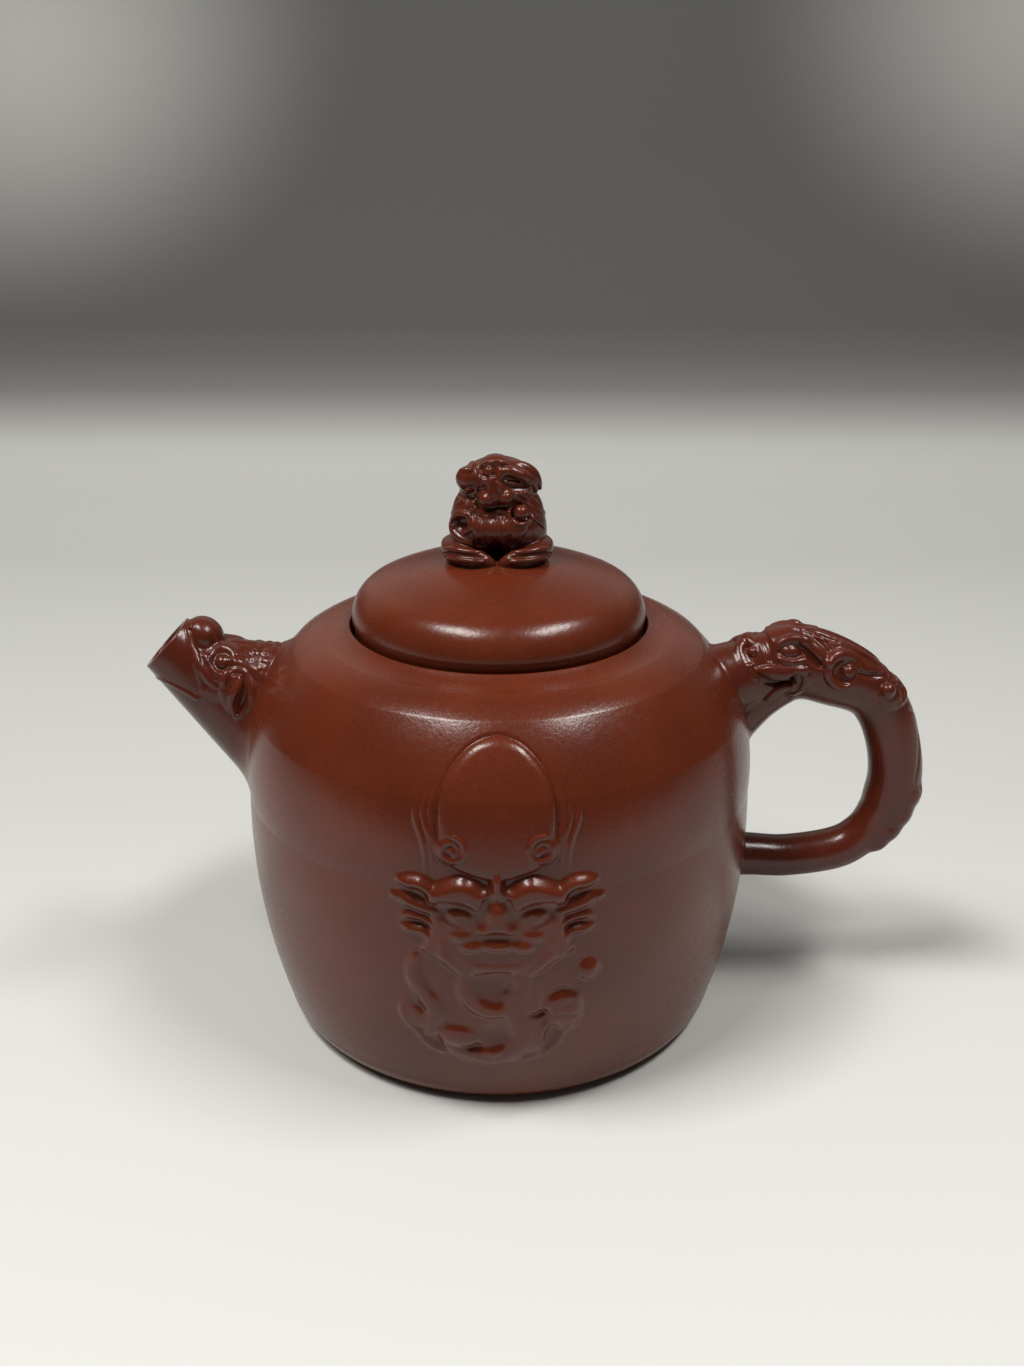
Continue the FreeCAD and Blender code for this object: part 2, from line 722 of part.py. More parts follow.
def at_front(item, across_share, height_share):
    """Lay a disc's axis towards the front at a place of the relief."""
    across, up = spot(across_share, height_share)
    return place(item, across=across, up=up, axis=LENGTHWAYS, angle=QUARTER)


def disc(name, across_share, height_share, radius_share):
    item = primitive("Part::Cylinder", name, Radius=radius_share * size.relief_half_width,
                     Height=1.2 * size.belly_radius)
    return at_front(item, across_share, height_share)


def laid_on(name, raw, form, *neighbours):
    """Keep the part of a prism that lies between the wall and the form, beside its neighbours."""
    return cut(name, boolean("Part::Common", name + "_whole", raw, form), pot_form, *neighbours)


mask_outline = both_sides([
    (0, spot(0, 0.66)[1]), spot(0.12, 0.61), through(spot(0.36, 0.64), spot(0.62, 0.61)),
    through(spot(0.74, 0.50), spot(0.66, 0.395)), through(spot(0.42, 0.345), (0, spot(0, 0.335)[1])),
])
mask = laid_on("mask", padded("mask_prism", mask_outline, 1.2 * size.belly_radius), relief_form)
sub_part("relief_mask", mask)

spirals = group("spiral_discs", disc("spiral_left", -0.42, 0.725, 0.17), disc("spiral_right", 0.42, 0.725, 0.17))
spirals = laid_on("spirals", spirals, relief_form)
sub_part("relief_spirals", spirals)

arch_outline = both_sides([
    (0, spot(0, 1.0)[1]), through(spot(0.29, 0.967), spot(0.45, 0.88)),
    through(spot(0.56, 0.76), spot(0.60, 0.64)), (0, spot(0, 0.64)[1]),
])
arch = laid_on("arch", padded("arch_prism", arch_outline, 1.2 * size.belly_radius), panel_form, mask, spirals)
sub_part("relief_arch", arch)

horn_outline = [
    spot(0.58, 0.60), through(spot(0.74, 0.645), spot(0.93, 0.635)), spot(0.86, 0.60),
    spot(1.0, 0.575), through(spot(0.92, 0.52), spot(0.82, 0.48)), spot(0.64, 0.50),
]
horn = padded("horn_prism", horn_outline, 1.2 * size.belly_radius)
other_horn = DOC.addObject("Part::Mirroring", "horn_left")
other_horn.Source = horn
other_horn.Normal = LENGTHWAYS
horns = laid_on("horns", group("horn_pair", horn, other_horn), relief_form, mask, arch)
sub_part("relief_horns", horns)

eyes = []
for name, side in (("eye_left", -1), ("eye_right", 1)):
    eye = ellipsoid(name, 0.13 * size.relief_half_width, 1.5 * size.relief_depth, 0.07 * size.relief_half_width)
    across, up = spot(side * 0.33, 0.527)
    eyes.append(place(eye, across=across, depth=-(size.belly_radius + 0.4 * size.relief_depth), up=up))
sub_part("relief_eyes", cut("mask_eyes", group("eye_pair", *eyes), pot_form, mask))

coil_band = cut("coil_band", disc("coil_outside", -0.05, 0.165, 0.54), disc("coil_inside", -0.05, 0.175, 0.34))
coil = laid_on("coil", coil_band, relief_form, mask)
sub_part("relief_coil", coil)

cloud_shares = {
    "cloud_left_top": (-0.74, 0.29, 0.15),
    "cloud_left": (-0.86, 0.16, 0.14),
    "cloud_left_low": (-0.68, 0.07, 0.13),
    "cloud_right_top": (0.68, 0.215, 0.18),
    "cloud_right_low": (0.60, 0.10, 0.13),
}
clouds = group("cloud_discs", *[disc(name, *shares) for name, shares in cloud_shares.items()])
sub_part("relief_clouds", laid_on("clouds", clouds, relief_form, mask, coil))

pearl_across, pearl_up = spot(0.87, 0.325)
pearl_centre_radius = size.belly_radius - 0.25 * size.pearl_radius
pearl_depth = -root(pearl_centre_radius * pearl_centre_radius - pearl_across * pearl_across)
pearl = place(
    primitive("Part::Sphere", "pearl_ball", Radius=size.pearl_radius),
    across=pearl_across, depth=pearl_depth, up=pearl_up)
sub_part("relief_pearl", cut("pearl", pearl, pot_form))

# checks and files

DOC.recompute()
for item in DOC.Objects:
    if "Invalid" in item.State or "Error" in item.State:
        raise RuntimeError("%s is %s" % (item.Name, item.State))
os.makedirs("parts", exist_ok=True)
for node, item in PARTS:
    shape = item.Shape
    if shape.isNull() or not shape.isValid() or not shape.Solids:
        raise RuntimeError("%s has no valid solid" % node)
    print(node, "solids", len(shape.Solids), "volume", round(shape.Volume, 2))
    shape.exportStep("parts/%s.step" % node)
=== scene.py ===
import math

import bmesh
import bpy
import numpy as np
import openvdb
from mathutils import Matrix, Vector


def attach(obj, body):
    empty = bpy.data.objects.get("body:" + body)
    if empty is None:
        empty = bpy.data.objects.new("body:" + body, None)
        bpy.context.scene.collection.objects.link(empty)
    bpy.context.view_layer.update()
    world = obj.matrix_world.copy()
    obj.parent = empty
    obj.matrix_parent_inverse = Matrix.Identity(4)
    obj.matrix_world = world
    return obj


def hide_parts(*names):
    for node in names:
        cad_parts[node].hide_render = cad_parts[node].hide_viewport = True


# Looks of the yixing teapot. Shapes are written in millimetres in the pot's own frame: spout towards -X,
# handle towards +X, relief towards -Y, foot at height 0. Meshes are scaled to metres when they are made.

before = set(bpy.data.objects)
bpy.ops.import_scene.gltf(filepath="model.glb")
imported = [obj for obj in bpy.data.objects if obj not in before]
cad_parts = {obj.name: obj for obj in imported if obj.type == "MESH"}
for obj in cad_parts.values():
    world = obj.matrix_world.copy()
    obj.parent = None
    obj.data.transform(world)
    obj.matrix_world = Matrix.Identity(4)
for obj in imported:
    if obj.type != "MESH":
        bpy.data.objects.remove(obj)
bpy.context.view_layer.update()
MM = 0.001

# Outline of the pot as radius and height

FOOT, FOOT_EDGE, HEEL = (40.4, 0.0), (43.6, 1.9), (45.0, 4.9)
FLANK, BELLY, BREAST = (49.1, 24.3), (50.0, 48.6), (49.7, 58.0)
TURN, SHOULDER, SEAM = (47.9, 65.4), (44.6, 71.2), (39.8, 76.9)
CROWN, COLLAR_FOOT, COLLAR_TOP = (37.0, 78.5), (34.0, 79.6), (29.2, 81.2)
WALL = 3.0
BASE_RADIUS, BASE_TOP = 36.0, 3.4
MOUTH_RADIUS, THROAT_RADIUS, SEAT_HEIGHT, DISC_UNDER = 28.8, 24.5, 77.5, 74.3

# Outline of the lid

LID_FOOT, LID_EDGE, LID_BULGE = (27.3, 77.65), (28.45, 83.0), (27.0, 86.8)
LID_SLOPE, LID_CROWN = (23.9, 89.2), (14.0, 92.65)
LID_TOP = 94.5
FLANGE_RADIUS, HOLLOW_RADIUS, FLANGE_FOOT = 24.05, 21.65, 69.65
VENT_RADIUS, VENT_PLACE = 1.2, 13.0

# Spout and handle

TIP = np.array((-65.05, 0.0, 76.2))
TIP_RADIUS, FLARE, SPOUT_WALL = 6.1, 0.14, 1.7
SPOUT_AIM = np.array((math.sqrt(0.5), 0.0, -math.sqrt(0.5)))
RIM_TILT = 0.04
OUTLET_RADIUS = 6.4

# Fineness of the meshes and the part of the wall that carries the relief

FINE, COARSE, RIM_ROUND = 0.28, 2.0, 0.25
RELIEF_HALF_ANGLE, BACK_STEP, LID_SIDES = 0.42, 0.052, 144
BODY_RELIEF_SHARE = 0.72
RELIEF_SOFTENINGS = 4

# Camera

CAMERA_PLACE, CAMERA_PITCH = np.array((2.56, -256.66, 174.16)), 22.57
IMAGE_LONG_SIDE, FOCAL_PIXELS, SENSOR = 1366, 1400.0, 36.0
CLIP_DISTANCES = (0.01, 20)


# curves

def arc(start, middle, end, spacing):
    """Points on the circle from start through middle to end, without the start."""
    a, b, c = complex(*start), complex(*middle), complex(*end)
    w = (c - a) / (b - a)
    centre = a - (a - b) * (w - abs(w) ** 2) / (2j * w.imag)
    turn = np.angle((c - centre) / (a - centre))
    through = np.angle((b - centre) / (a - centre))
    if through * turn < 0 or abs(through) > abs(turn):
        turn -= math.copysign(2 * math.pi, turn)
    count = max(2, math.ceil(abs(turn) * abs(a - centre) / spacing))
    ring = centre + (a - centre) * np.exp(1j * turn * np.arange(1, count + 1) / count)
    return [(p.real, p.imag) for p in ring]


def line(start, end, spacing):
    """Points on the straight line from start to end, without the start."""
    count = max(1, math.ceil(math.dist(start, end) / spacing))
    shares = np.arange(1, count + 1) / count
    return [tuple(np.array(start) * (1 - share) + np.array(end) * share) for share in shares]


def smooth_line(points, step, closed=False):
    """A Catmull-Rom curve through points, sampled at about the step."""
    points = np.array(points, float)
    if closed:
        points = np.vstack([points[-1:], points, points[:2]])
    else:
        points = np.vstack([2 * points[:1] - points[1:2], points, 2 * points[-1:] - points[-2:-1]])
    samples = []
    for before, here, after, beyond in zip(points, points[1:], points[2:], points[3:]):
        count = max(1, math.ceil(np.linalg.norm((after - here)[:3]) / step))
        t = (np.arange(count) / count)[:, None]
        samples.append(0.5 * (2 * here + (after - before) * t
                              + (2 * before - 5 * here + 4 * after - beyond) * t ** 2
                              + (3 * here - before - 3 * after + beyond) * t ** 3))
    if not closed:
        samples.append(points[-2:-1])
    return np.vstack(samples)


# meshes

def mesh_object(name, points, faces, material):
    """A smooth-shaded object; points are in millimetres."""
    mesh = bpy.data.meshes.new(name)
    mesh.from_pydata((np.asarray(points, float) * MM).tolist(), [], faces)
    mesh.polygons.foreach_set("use_smooth", [True] * len(mesh.polygons))
    mesh.materials.append(material)
    mesh.update()
    item = bpy.data.objects.new(name, mesh)
    bpy.context.scene.collection.objects.link(item)
    return item


def turned(name, rows, material):
    """A closed mesh whose rows of points, one loop of the outline per angle, run round the axis."""
    columns, height = rows.shape[:2]
    index = np.arange(columns * height).reshape(columns, height)
    following = np.roll(index, -1, axis=0)
    quads = np.stack([index, following, np.roll(following, -1, axis=1), np.roll(index, -1, axis=1)], -1)
    return mesh_object(name, rows.reshape(-1, 3), quads.reshape(-1, 4).tolist(), material)


def round_rows(outline, angles):
    """The outline's points at every angle; angle 0 is the front."""
    radius, height = np.array(outline).T
    return np.stack([
        radius[None] * np.sin(angles)[:, None],
        -radius[None] * np.cos(angles)[:, None],
        np.broadcast_to(height, (len(angles), len(height))),
    ], -1)


def bore(item, start, end, radius, sides=48):
    """Drill a round hole through a closed mesh."""
    start, end = Vector(start) * MM, Vector(end) * MM
    drill_mesh = bmesh.new()
    bmesh.ops.create_cone(drill_mesh, cap_ends=True, segments=sides, radius1=radius * MM, radius2=radius * MM,
                          depth=(end - start).length)
    mesh = bpy.data.meshes.new("drill")
    drill_mesh.to_mesh(mesh)
    drill_mesh.free()
    drill = bpy.data.objects.new("drill", mesh)
    bpy.context.scene.collection.objects.link(drill)
    drill.rotation_mode = "QUATERNION"
    drill.rotation_quaternion = (end - start).to_track_quat("Z", "Y")
    drill.location = (start + end) / 2
    modifier = item.modifiers.new("bore", "BOOLEAN")
    modifier.object = drill
    modifier.operation = "DIFFERENCE"
    modifier.solver = "EXACT"
    bpy.context.view_layer.update()
    result = bpy.data.meshes.new_from_object(item.evaluated_get(bpy.context.evaluated_depsgraph_get()))
    item.modifiers.clear()
    item.data = result
    bpy.data.objects.remove(drill)


# relief: heights on the front of the wall

class Relief:
    """Heights over the wall. Places are (across, height) and are laid along the outline."""

    BLEND = 0.2
    FALL = 1.5
    STEP = 0.4
    OUTLINE_STEP = 0.5

    def __init__(self, across, lengths, heights):
        self.lengths, self.heights = lengths, heights
        self.across = across[:, None] + 0 * lengths[None]
        self.along = 0 * across[:, None] + lengths[None]
        self.raised = np.zeros_like(self.across)

    def laid(self, points):
        """Turn heights above the table into lengths along the outline."""
        points = np.array(points, float)
        points[:, 1] = np.interp(points[:, 1], self.heights, self.lengths)
        return points

    def window(self, points, margin):
        low, high = points[:, :2].min(0) - margin, points[:, :2].max(0) + margin
        columns = np.flatnonzero((self.across[:, 0] > low[0]) & (self.across[:, 0] < high[0]))
        rows = np.flatnonzero((self.along[0] > low[1]) & (self.along[0] < high[1]))
        return slice(columns[0], columns[-1] + 1), slice(rows[0], rows[-1] + 1)

    def near(self, area, points):
        """Distance to a line of points and how far along it the nearest place lies."""
        u, v = self.across[area], self.along[area]
        best = np.full(u.shape, 1e9)
        share = np.zeros(u.shape)
        for number in range(len(points) - 1):
            start, step = points[number], points[number + 1] - points[number]
            t = np.clip(((u - start[0]) * step[0] + (v - start[1]) * step[1]) / (step @ step + 1e-12), 0, 1)
            distance = np.hypot(u - start[0] - t * step[0], v - start[1] - t * step[1])
            closer = distance < best
            best = np.where(closer, distance, best)
            share = np.where(closer, (number + t) / (len(points) - 1), share)
        return best, share

    def blend(self, area, level):
        """Keep the higher of the old heights and the new level, with a soft seam."""
        old = self.raised[area]
        t = np.clip(0.5 + 0.5 * (old - level) / self.BLEND, 0, 1)
        self.raised[area] = level * (1 - t) + old * t + self.BLEND * t * (1 - t)

    def ridge(self, points, half_width, height, taper=(1, 1), on_top=False):
        """A rounded band along a curve; taper narrows its two ends."""
        points = smooth_line(self.laid(points), self.STEP)
        area = self.window(points, half_width + 1)
        distance, share = self.near(area, points)
        narrowing = np.interp(share, (0, 0.3, 0.7, 1), (taper[0], 1, 1, taper[1]))
        reach = distance / (half_width * narrowing)
        rounded = np.sqrt(np.clip(1 - reach ** 2, 0, 1)) * np.sqrt(narrowing)
        if on_top:
            self.raised[area] += height * rounded ** 2
        else:
            self.blend(area, height * rounded - np.clip(reach - 1, 0, None) * half_width * self.FALL)

    def groove(self, points, half_width, depth, taper=(0.3, 0.3)):
        self.ridge(points, half_width, -depth, taper, on_top=True)

    def mound(self, outline, height, edge):
        """A plateau with rolled edges inside a closed outline."""
        points = smooth_line(self.laid(outline), self.OUTLINE_STEP, closed=True)
        ring = np.vstack([points, points[:1]])
        area = self.window(ring, 1.5)
        distance, _ = self.near(area, ring)
        u, v = self.across[area], self.along[area]
        inside = np.zeros(u.shape, bool)
        for (u1, v1), (u2, v2) in zip(ring, ring[1:]):
            crosses = (v1 > v) != (v2 > v)
            inside ^= crosses & (u < (u2 - u1) * (v - v1) / (v2 - v1 + 1e-12) + u1)
        depth = np.clip(distance / edge, 0, 1)
        self.blend(area, np.where(inside, height * np.sqrt(1 - (1 - depth) ** 2), -self.FALL * distance))

    def dome(self, place, half_across, half_up, height, lean=0, on_top=False):
        """A rounded boss, leaning by degrees."""
        centre = self.laid([place])[0]
        span = max(half_across, half_up)
        area = self.window(np.array([centre]), span + 1)
        u, v = self.across[area] - centre[0], self.along[area] - centre[1]
        cosine, sine = math.cos(math.radians(lean)), math.sin(math.radians(lean))
        reach = np.hypot((u * cosine + v * sine) / half_across, (v * cosine - u * sine) / half_up)
        rounded = np.sqrt(np.clip(1 - reach ** 2, 0, 1))
        if on_top:
            self.raised[area] += height * rounded ** 2
        else:
            self.blend(area, height * rounded - np.clip(reach - 1, 0, None) * span * self.FALL)

    def soften(self, rounds):
        """Round the carving off, as wiping with a wet finger does."""
        for _ in range(rounds):
            for axis in (0, 1):
                beside_it = np.roll(self.raised, 1, axis) + np.roll(self.raised, -1, axis)
                self.raised = 0.5 * self.raised + 0.25 * beside_it

    def both(self, shape, points, *sizes, **options):
        """The same shape on the left and on the right."""
        for side in (-1, 1):
            shape([(side * across, height) for across, height in points], *sizes, **options)

    def domes(self, place, *sizes, lean=0, **options):
        """The same boss on the left and on the right."""
        for side in (-1, 1):
            self.dome((side * place[0], place[1]), *sizes, lean=side * lean, **options)


def mirrored_ring(half):
    """A closed outline from its left half, which starts and ends on the middle line."""
    return half + [(-across, height) for across, height in half[-2:0:-1]]


def mirrored_run(half):
    """A line from side to side from its left half, which ends on the middle line."""
    return half + [(-across, height) for across, height in half[-2::-1]]


def spiral(centre, start_radius, end_radius, turns, start_degrees, side):
    """Places on a spiral in the plane of the relief."""
    steps = max(6, round(abs(turns) * 12))
    places = []
    for step in range(steps + 1):
        share = step / steps
        angle = math.radians(start_degrees) + side * 2 * math.pi * turns * share
        radius = start_radius + (end_radius - start_radius) * share
        places.append((centre[0] + radius * math.cos(angle), centre[1] + radius * math.sin(angle)))
    return places


def carve_headdress(relief):
    """The arched panel with its rim, the locks of hair beside it and the two spiral bosses."""
    arch = [(0, 74.9), (-4.6, 73.9), (-7.9, 71.3), (-9.9, 68), (-10.4, 63.6), (-10.1, 59.8), (-9.4, 56),
            (-6.4, 53.6), (-2.6, 52.3), (0, 52.1)]
    relief.mound(mirrored_ring(arch), 1.05, 2.2)
    rim = [(-9.9, 60), (-10.5, 63.6), (-10.1, 67.9), (-8, 71.4), (-4.7, 74.1), (0, 75.2)]
    relief.groove(mirrored_run(rim), 0.45, 0.22)
    locks = [
        [(11.3, 67.4), (11.7, 64.2), (11.3, 61.3), (10.8, 59.0), (10.2, 56.4)],
        [(12.8, 66.6), (13.1, 64.2), (12.6, 61.8), (11.8, 59.6), (11.3, 57.0), (10.9, 54.4)],
        [(14.3, 65.6), (14.6, 63.6), (13.9, 61.3), (12.9, 59.0), (12.3, 56.4), (12.2, 53.0)],
    ]
    for lock in locks:
        relief.both(relief.ridge, lock, 0.72, 0.42, taper=(0.2, 0.5), on_top=True)
    for side in (-1, 1):
        centre = (side * 7.6, 57.6)
        relief.dome(centre, 3.2, 3.2, 1.1)
        relief.dome(centre, 2.6, 2.6, -0.45, on_top=True)
        relief.ridge(spiral(centre, 2.35, 1, 1.4, 80, side), 0.62, 0.5, taper=(1, 1), on_top=True)
        relief.dome(centre, 0.9, 0.9, 0.6, on_top=True)


def carve_head(relief):
    """The head's outline."""
    face = [(0, 33.7), (3.6, 33), (6.9, 32.8), (9, 34.5), (11.4, 36.2), (13.4, 37.5), (12.3, 39.6),
            (11.2, 42.6), (12, 46.2), (11.2, 49.6), (6, 52), (2.4, 50.4), (0, 51)]
    relief.mound(mirrored_ring(face), 1, 1.1)


def carve_horns(relief):
    """Horns and ears at both sides."""
    relief.both(relief.ridge, [(11.3, 49.5), (13.2, 50.7), (15.2, 50.7), (17.4, 50.7)], 1.15, 1.5,
            taper=(1, 0.35))
    relief.both(relief.ridge, [(10.8, 45.8), (13.3, 46.1), (16, 46.9), (18.6, 47.3)], 1.05, 1.15,
            taper=(1, 0.4))
    relief.both(relief.groove, [(15.8, 46.8), (17.2, 47.2), (18.2, 47.4)], 0.4, 0.7)
    relief.both(relief.ridge, [(11.1, 40.4), (11.3, 42.6), (12.9, 43.8), (15.4, 44.1), (17, 43.2)],
            0.62, 1.05, taper=(1, 0.4))
    relief.both(relief.ridge, [(11.8, 39.6), (12.8, 41.1), (15.2, 41.2), (17.4, 41.9)], 0.62, 0.95,
            taper=(1, 0.3))
    relief.both(relief.groove, [(11.8, 40.8), (12.3, 42.3), (13.8, 42.7), (15.8, 42.6)], 0.5, 0.7)


def carve_eyes(relief):
    """Sockets, eyeballs and lids."""
    relief.domes((6.9, 45.1), 4.3, 2.2, -0.8, lean=8, on_top=True)
    relief.domes((6.2, 45), 2.9, 1.75, 1.55, lean=10)
    relief.domes((5.8, 44.8), 0.55, 0.5, -0.65, on_top=True)
    relief.both(relief.ridge, [(3.4, 44.2), (4.8, 43.3), (6.8, 43), (8.7, 43.9), (9.9, 45.7)], 0.42, 0.55,
            taper=(0.5, 0.5), on_top=True)
    relief.both(relief.groove, [(9.7, 46.2), (10.8, 46.5), (12.3, 46.6)], 0.42, 0.95)


def carve_brows(relief):
    """Brows with a bead at their inner ends, and the crest between them."""
    brow = [(1.9, 49.4), (3, 50.9), (4.3, 51.9), (6, 52.3), (7.8, 51.9), (9.6, 51.1), (11.4, 49.9),
            (12.1, 48.2), (11.6, 47), (9.6, 47.4), (7.1, 47.5), (4.9, 47), (3.2, 45.9), (2.2, 47.4)]
    relief.both(relief.mound, brow, 2.15, 1.7)
    relief.both(relief.ridge, [(2.2, 49.7), (3.2, 51), (4.4, 51.8), (6, 52.1), (7.6, 51.8)], 0.42, 0.4,
            taper=(1, 0.2), on_top=True)
    relief.domes((2.2, 49.6), 0.7, 0.65, 2.3)
    relief.domes((13.2, 50.9), 0.8, 0.6, 1.75)
    relief.ridge([(0, 54.4), (0, 52.4), (0, 50.6), (0, 49)], 1.05, 1.9, taper=(0.15, 0.8))


def carve_nose(relief):
    """Bridge, nose and nostrils."""
    bridge = [(0, 48.4), (1.7, 47), (2.3, 44.8), (3.4, 42.7), (2.7, 41.7), (0, 41.9)]
    relief.mound(mirrored_ring(bridge), 2.15, 2)
    relief.domes((2.3, 42.6), 1.25, 0.95, 2.05)
    relief.domes((1.9, 41.9), 0.5, 0.4, -0.6, on_top=True)


def carve_jaw(relief):
    """Cheeks, moustache, lip and chin."""
    relief.domes((6.2, 41.3), 2.7, 1.45, 1.75)
    relief.domes((4.6, 39.3), 2.4, 1.2, 2)
    relief.dome((0, 39.6), 3.6, 1.1, 2)
    relief.both(relief.ridge, [(7.6, 40.6), (9, 40), (9.6, 38), (8.2, 36), (6.4, 34.6)], 0.8, 0.45,
            taper=(0.3, 0.4), on_top=True)
    lip = [(-6.9, 38.2), (-6.3, 36.4), (-4.2, 35.3), (0, 34.9)]
    relief.ridge(mirrored_run(lip), 1.1, 1.35, taper=(0.5, 0.5))


def carve_face(relief):
    """The mask from its horns to its chin."""
    for carve in (carve_head, carve_horns, carve_eyes, carve_brows, carve_nose, carve_jaw):
        carve(relief)


def carve_neck(relief):
    """Neck dish, the tube round it and the body that coils under it."""
    relief.ridge([(6.8, 31.6), (6.9, 28.2), (6.2, 25), (6.8, 21.6), (7.2, 18), (6.2, 15)], 1.5, 0.8,
            taper=(0.6, 0.6))
    relief.ridge([(4.2, 32), (3.9, 28.5), (3.3, 25), (4.2, 21.5), (4.6, 18), (2.5, 14.8), (-1.5, 13.6),
            (-6, 14.2), (-9.5, 16)], 2.4, 1.25, taper=(1, 0.5))
    relief.ridge([(-5.4, 33.4), (-5.8, 29.8), (-4.6, 26.8), (-2.2, 25), (0.4, 24.8), (2.4, 25.8)], 1.7, 1.3,
            taper=(0.8, 0.7))
    relief.dome((0, 30.2), 4, 3.6, -0.8, on_top=True)
    relief.groove([(1, 28.9), (2.1, 29.8), (3.4, 30.4)], 0.5, 0.9, taper=(0.5, 0.3))
    relief.dome((-0.6, 19.2), 3.1, 3, -0.5, on_top=True)


def carve_scroll(relief):
    """Scroll at the bottom left and the band under it."""
    relief.dome((-7.4, 18.4), 3.9, 2.6, 1.6, lean=-6)
    relief.ridge([(-2.6, 15.2), (-0.6, 15), (1.6, 16.1)], 0.6, 0.6, taper=(0.4, 0.4), on_top=True)
    relief.groove([(-6.6, 16.4), (-5.2, 15.7), (-3.2, 15.9), (-2.2, 16.1)], 0.5, 0.9, taper=(0.4, 0.4))
    relief.groove([(-11.8, 18.4), (-11.3, 15.9), (-9.2, 14.6)], 0.45, 0.7)
    relief.ridge([(-9.6, 14.2), (-5.2, 12.7), (0, 12.2), (4.9, 12.8), (8, 13.8)], 0.7, 0.8,
            taper=(0.3, 0.3))


def carve_left_leg(relief):
    """Left leg and paw."""
    relief.ridge([(-14.6, 35.4), (-15.2, 32.2), (-13.9, 29.2), (-12.4, 26.6), (-11.5, 23.8), (-12.2, 20.8),
            (-13, 18.6)], 2, 1.1, taper=(0.5, 0.6))
    relief.groove([(-13.6, 32.6), (-12.7, 30), (-11.5, 28.1), (-10.3, 26.8)], 0.55, 1)
    relief.dome((-15.6, 21.9), 2.6, 2.9, 1, lean=20)
    relief.ridge([(-16.4, 25.6), (-17.8, 24.2), (-17.9, 22), (-16.7, 20), (-15.1, 18.3), (-13.8, 16.2),
            (-12.2, 14.7), (-10.2, 13.9)], 0.62, 1.2, taper=(0.5, 0.4))
    relief.groove([(-15.6, 25), (-14.3, 24.2), (-13.4, 22.7)], 0.6, 0.8)
    relief.dome((-13.5, 22.9), 0.45, 0.4, 0.5, on_top=True)


def carve_right_paw(relief):
    """Right paw with its claw and leaf."""
    paw = [(8.6, 25.6), (9.2, 27), (11.2, 28), (14, 27.7), (15.5, 26), (15.5, 22), (14.2, 19.2),
            (12.4, 18.9), (10.8, 20.6), (9.2, 22.4)]
    relief.mound(paw, 1.2, 1.6)
    relief.groove([(8.8, 27.2), (10.4, 28.4), (12.2, 28.7), (14.3, 28.1)], 0.5, 0.6)
    relief.groove([(12, 25.5), (13.8, 26.1)], 0.42, 0.6)
    relief.ridge([(9.4, 24.2), (11.4, 24.6), (13.2, 24), (14.6, 24.6)], 0.55, 0.35, on_top=True)
    relief.ridge([(9.6, 22.6), (11.6, 22.9), (13.4, 22.2), (15, 22.4)], 0.5, 0.3, on_top=True)
    relief.groove([(5.6, 23.8), (7.6, 23.7), (9.2, 24.1), (9.8, 25)], 0.6, 1.3, taper=(0.7, 0.5))
    relief.ridge([(8.5, 14.2), (8.1, 17), (8.3, 19.6), (9.3, 21.4), (11.3, 21.8), (13.4, 20.9),
            (12.2, 18.4), (10.8, 15.9), (9, 14.3)], 0.55, 1.2)
    relief.groove([(9.3, 17), (10, 19.4), (12.2, 20.8)], 0.6, 0.4)


def carve_pearl(relief):
    """The pearl."""
    relief.dome((16.4, 32.4), 1.95, 2.15, 1.9)


def carve_body(relief):
    """The coiled body under the mask, with its legs and the pearl."""
    for carve in (carve_neck, carve_scroll, carve_left_leg, carve_right_paw, carve_pearl):
        carve(relief)


# clay blocks: distances on a grid, skinned as meshes

